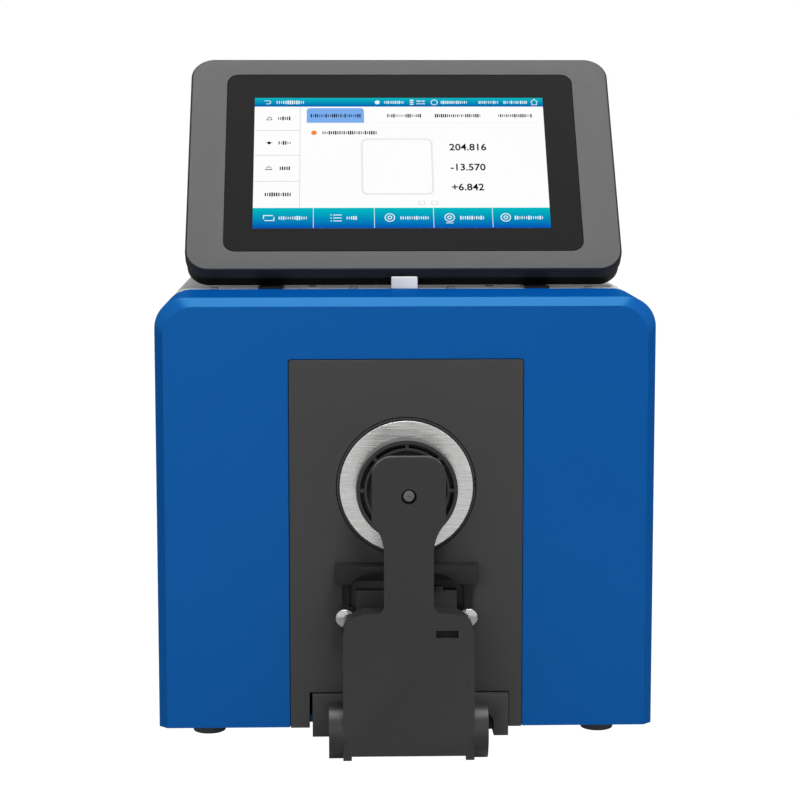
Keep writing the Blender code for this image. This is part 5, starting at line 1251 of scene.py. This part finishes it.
ink(page_white, 1, bar(1, -77.8, 76.3, 24.9, 111.1))
ink(header_fade, 2, bar(2, -77.8, 76.3, 105.15, 111.1))
ink(footer_fade, 2, bar(2, -77.8, 76.3, 24.9, 37.9))
ink(line_grey, 2, *(bar(2, -77.4, -53.5, s - 0.12, s + 0.12) for s in (89.0, 72.3, 55.2)),
    bar(2, -53.7, -53.45, 38, 105.1))
ink(soft_grey, 2, bar(2, -50.1, 72.5, 93.9, 94.15),
    soft_bar(2, -21.6, 16.7, 46.1, 83.7, 3.6))
ink(rim_grey, 3, soft_bar(3, -20.9, 16.0, 46.8, 83.0, 3.0))
ink(page_white, 4, soft_bar(4, -20.5, 15.6, 47.2, 82.6, 2.7))
ink(tab_blue, 2, slab(2, [(-50.1, 94.2), (-19.6, 94.2)] + arc((-21.4, 102.3), 1.8, 0, 90, 8)
                      + arc((-48.3, 102.3), 1.8, 90, 180, 8)))
ink(line_grey, 2, *(soft_bar(2, x - 1.6, x + 1.6, 39.7, 42.3, 0.3) for x in (9.8, 16.5)))
ink(page_white, 3, *(soft_bar(3, x - 1.35, x + 1.35, 39.95, 42.05, 0.2) for x in (9.8, 16.5)))
ink(sign_white, 3, *(bar(3, x - 0.15, x + 0.15, 25.2, 37.8) for x in (-46.5, -14.9, 15.8, 46.4)))

header = 108.0
ink(sign_white, 3, *stroke(3, 0.35, (-72.5, 109.1), (-70.2, 109.1), (-69.4, 108.3), (-69.4, 107.6),
                           (-70.2, 107.0), (-71.6, 107.0)),
    strokes(3, -66.5, -51.0, header, 2.6),
    dot(3, -12.4, header, 1.35), strokes(3, -9.0, 1.4, header, 2.2),
    *(bar(3, 5.0, 7.0, header + d, header + d + 0.7) for d in (-1.6, -0.2, 1.1)),
    strokes(3, 8.6, 13.2, header + 0.9, 1.0), strokes(3, 8.6, 13.2, header - 0.9, 1.0),
    hoop_of(3, 18.1, header, 1.9, 1.5), strokes(3, 21.4, 35.4, header, 2.3),
    strokes(3, 41.7, 52.4, header, 2.2), strokes(3, 55.1, 68.0, header, 2.2),
    *stroke(3, 0.35, (69.9, 108.3), (71.7, 110.1), (73.5, 108.3)),
    *stroke(3, 0.35, (70.4, 108.0), (70.4, 106.3), (73.0, 106.3), (73.0, 108.0)))

ink(print_dark, 3,
    *stroke(3, 0.3, (-71.3, 96.1), (-68.5, 96.1), (-69.2, 97.9), (-70.6, 97.9), (-71.3, 96.1)),
    strokes(3, -65.6, -58.2, 97.1, 2.6),
    dot(3, -69.9, 80.6, 0.9), *stroke(3, 0.3, (-71.5, 80.6), (-68.3, 80.6)),
    strokes(3, -65.2, -58.4, 80.6, 2.6),
    *stroke(3, 0.4, (-71.6, 62.9), (-68.2, 62.9)), *stroke(3, 0.3, (-71.2, 63.8), (-69.9, 65.0),
                                                        (-68.6, 63.8)),
    strokes(3, -64.4, -58.6, 63.7, 2.6), strokes(3, -72.0, -57.5, 46.6, 2.6),
    strokes(3, -48.2, -21.4, 98.9, 2.5), strokes(3, -7.4, 10.9, 98.9, 2.4),
    strokes(3, 18.0, 43.0, 98.9, 2.4), strokes(3, 51.8, 69.8, 98.9, 2.4),
    strokes(3, -42.0, -13.0, 87.4, 2.5))
ink(print_dark, 3, figures(3, "204.816", 25.2, 75.6, 4.3), figures(3, "-13.570", 25.4, 62.3, 4.3),
    figures(3, "+6.842", 25.6, 49.2, 4.3))
ink(sign_orange, 3, dot(3, -46.2, 87.4, 1.5))

footer = 31.4
for icon in (-69.4, -34.8, -6.9, 24.1, 53.2):
    if icon == -34.8:
        ink(sign_white, 3, *(bar(3, icon - 1.4, icon + 3.0, footer + d - 0.25, footer + d + 0.25)
                             for d in (-1.9, 0, 1.9)),
            *(dot(3, icon - 2.5, footer + d, 0.35) for d in (-1.9, 0, 1.9)))
    elif icon == -69.4:
        ink(sign_white, 3, *stroke(3, 0.5, (-72.2, 31.0), (-72.2, 33.0), (-67.6, 33.0)),
            *stroke(3, 0.5, (-71.4, 29.8), (-66.8, 29.8), (-66.8, 31.8)))
    else:
        ink(sign_white, 3, hoop_of(3, icon, footer + 0.2, 2.7, 2.2),
            hoop_of(3, icon, footer + 0.2, 1.2, 0.7))
ink(sign_white, 3, bar(3, 22.2, 26.0, 27.9, 28.3),
    *(strokes(3, *span, footer, 2.6) for span in ((-64.7, -49.2), (-29.6, -23.3), (-1.7, 13.0),
                                                 (29.3, 41.9), (57.6, 72.3))))

for (colour, level), (sheet_finish, shape) in INK.items():
    piece(f"{colour}_{level}", shape, sheet_finish, "display_head", 0, HEAD)
print(len(INK), "sheets,", rows_printed, "rows of strokes")

# %% [markdown]
# ## The compartment in the top
# A lid covers the bay that holds a cuvette in the light beam. The lid turns on a
# pin between two ears at its back and closes on a strip of foam.

# %% Make the compartment, its lid and its hinge
refined("compartment_lid", grey_paint, 0.0005, 3)
refined("lid_seal", seal_foam, 0.0002)
refined("lid_hinge", dull_steel, 0.0002)
refined("lid_pin", dull_steel, 0.0001)
refined("chamber_liner", black_plastic, 0.0003)
refined("cuvette_holder", black_plastic, 0.0004)
print("compartment made")

# %% [markdown]
# ## Works inside the case
# Light from the lamp fills a white sphere behind the port. Tubes lead it through
# the compartment to the spectrometer, where a grating spreads it on the detector.
# These parts keep their plain shapes, with edges taken off and finishes of their
# own. The sphere's halves are bare metal outside and matt white inside, so each of
# their faces gets one finish or the other by its distance from the centre.

# %% Make the works
SPHERE_CENTRE = Vector((0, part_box("sphere_rear_half")[0].y, PORT_Z + sole_z))
SPHERE_WHITE = 0.0610
for solid in ("sphere_front_half", "sphere_rear_half"):
    half_made = refined(solid, cast_alloy, 0)
    half_made.data.materials.append(port_white)
    for face in half_made.data.polygons:
        far = max((half_made.data.vertices[i].co - SPHERE_CENTRE).length for i in face.vertices)
        face.material_index = 1 if far < SPHERE_WHITE else 0


def board_green(name):
    """Solder mask over fine copper tracks that run along X and Y."""
    made, tree, shader = shader_of(name, specular=0.4, roughness=0.35)
    where = node(tree, "ShaderNodeTexCoord")
    tracks = node(tree, "ShaderNodeTexBrick", Scale=260.0)
    tracks.inputs["Color1"].default_value = linear(20, 96, 52)
    tracks.inputs["Color2"].default_value = linear(24, 104, 58)
    tracks.inputs["Mortar"].default_value = linear(54, 142, 84)
    tree.links.new(where.outputs["Object"], tracks.inputs["Vector"])
    tree.links.new(tracks.outputs["Color"], shader.inputs["Base Color"])
    raised(tree, shader, tracks.outputs["Fac"], 2e-5)
    return made


circuit_green = board_green("circuit_green")
lcd_layer = grained("lcd_layer", linear(226, 232, 238), 0.3, 900, 2e-6, 0.01)
WORKS = {
    "sphere_stand": cast_alloy, "beam_tube": black_plastic, "lens_tube": black_plastic,
    "lamp_module": black_plastic, "camera_module": black_plastic,
    "spectrometer_case": cast_alloy, "power_supply": zinc_plate, "grating": mirror_coat,
    "detector_board": circuit_green, "main_board": circuit_green,
    "display_board": circuit_green, "lcd_panel": lcd_layer,
}
for solid, finish in WORKS.items():
    refined(solid, finish, 0.0002)
print(len(WORKS) + 2, "parts of the works")

# %% [markdown]
# ## Sockets at the back
# The rear has a power inlet, two data sockets and a rocker switch. Pins are the
# same small rod many times, so a node tree lays them out on points.

# %% Make the sockets and the switch
for solid in ("power_inlet", "usb_socket", "serial_socket", "rocker_frame"):
    refined(solid, black_plastic, 0.0003)
pin_tree, given = geometry_tree("pins_on_points", Radius=0.0004, Length=0.0016)
pin = node(pin_tree, "GeometryNodeMeshCylinder", Vertices=12)
pin_tree.links.new(given["Radius"], pin.inputs["Radius"])
pin_tree.links.new(given["Length"], pin.inputs["Depth"])
planted = node(pin_tree, "GeometryNodeInstanceOnPoints")
pin_tree.links.new(given["Geometry"], planted.inputs["Points"])
pin_tree.links.new(pin.outputs[0], planted.inputs["Instance"])
close_tree(pin_tree, planted.outputs[0], knob_steel)


def pins(name, socket, spots, radius, length, floor):
    """Pins that stand on a socket's floor, placed from its middle."""
    low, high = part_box(socket)
    points = bpy.data.meshes.new(name)
    points.from_pydata([(x, -z, length / 2) for x, z in spots], [], [])
    place = (Matrix.Translation(((low.x + high.x) / 2, high.y - floor - 0.0002,
                                 (low.z + high.z) / 2)) @ Matrix.Rotation(-math.pi / 2, 4, "X"))
    piece(name, grown(pin_tree, points, Radius=radius, Length=length), knob_steel, "instrument", 0,
          place)


SERIAL_PITCH, SERIAL_ROW = 0.00277, 0.00142
pins("serial_pins", "serial_socket",
     [((i - 2) * SERIAL_PITCH, SERIAL_ROW) for i in range(5)]
     + [((i - 1.5) * SERIAL_PITCH, -SERIAL_ROW) for i in range(4)], 0.0005, 0.0017, 0.0020)
pins("inlet_pin", "power_inlet", [(0, 0)], 0.0010, 0.0068, 0.0080)
usb_low, usb_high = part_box("usb_socket")
usb_x = (usb_low.x + usb_high.x) / 2
usb_z = (usb_low.z + usb_high.z) / 2
TONGUE_HALF, TONGUE_HALF_HEIGHT = 0.0027, 0.0014
tongue = block((usb_x - TONGUE_HALF, usb_x + TONGUE_HALF),
               (usb_high.y - 0.0022, usb_high.y - 0.0004),
               (usb_z - TONGUE_HALF_HEIGHT, usb_z + TONGUE_HALF_HEIGHT))
piece("usb_tongue", tongue, port_white, "instrument", 0.0002, Matrix.Identity(4))
refined("power_rocker", black_plastic, 0.0004, 3)
print("sockets and switch made")

# %% [markdown]
# ## Small marks
# The ring turns a little way to lock, and two small dark dots beside it show where.
# Two dark plugs close holes in the cover behind the display's foot.

# %% Make the marks, and clear away the models that were copied
punched = bmesh.new()
for x, z in ((0.0334, PORT_Z + 0.0034), (0.0334, PORT_Z + 0.0007)):
    punched.from_mesh(mesh_of("dot", rod(0.0006, "Y", SEAT_FRONT - 0.0001, SEAT_FRONT + 0.0003,
                                         (x, 0, z), 20)))
piece("index_dots", punched, shell_black, "instrument", 0)
dark_spots = bmesh.new()
for x in (-0.046, 0.046):
    dark_spots.from_mesh(mesh_of("dot", rod(0.0022, "Z", COVER_TOP - 0.0001, COVER_TOP + 0.0004,
                                            (x, 0.085, 0), 28)))
piece("cover_plugs", dark_spots, shell_black, "instrument", 0)
for thing in (screw_model, slot_model):
    bpy.data.objects.remove(thing, do_unlink=True)
print("marks made")
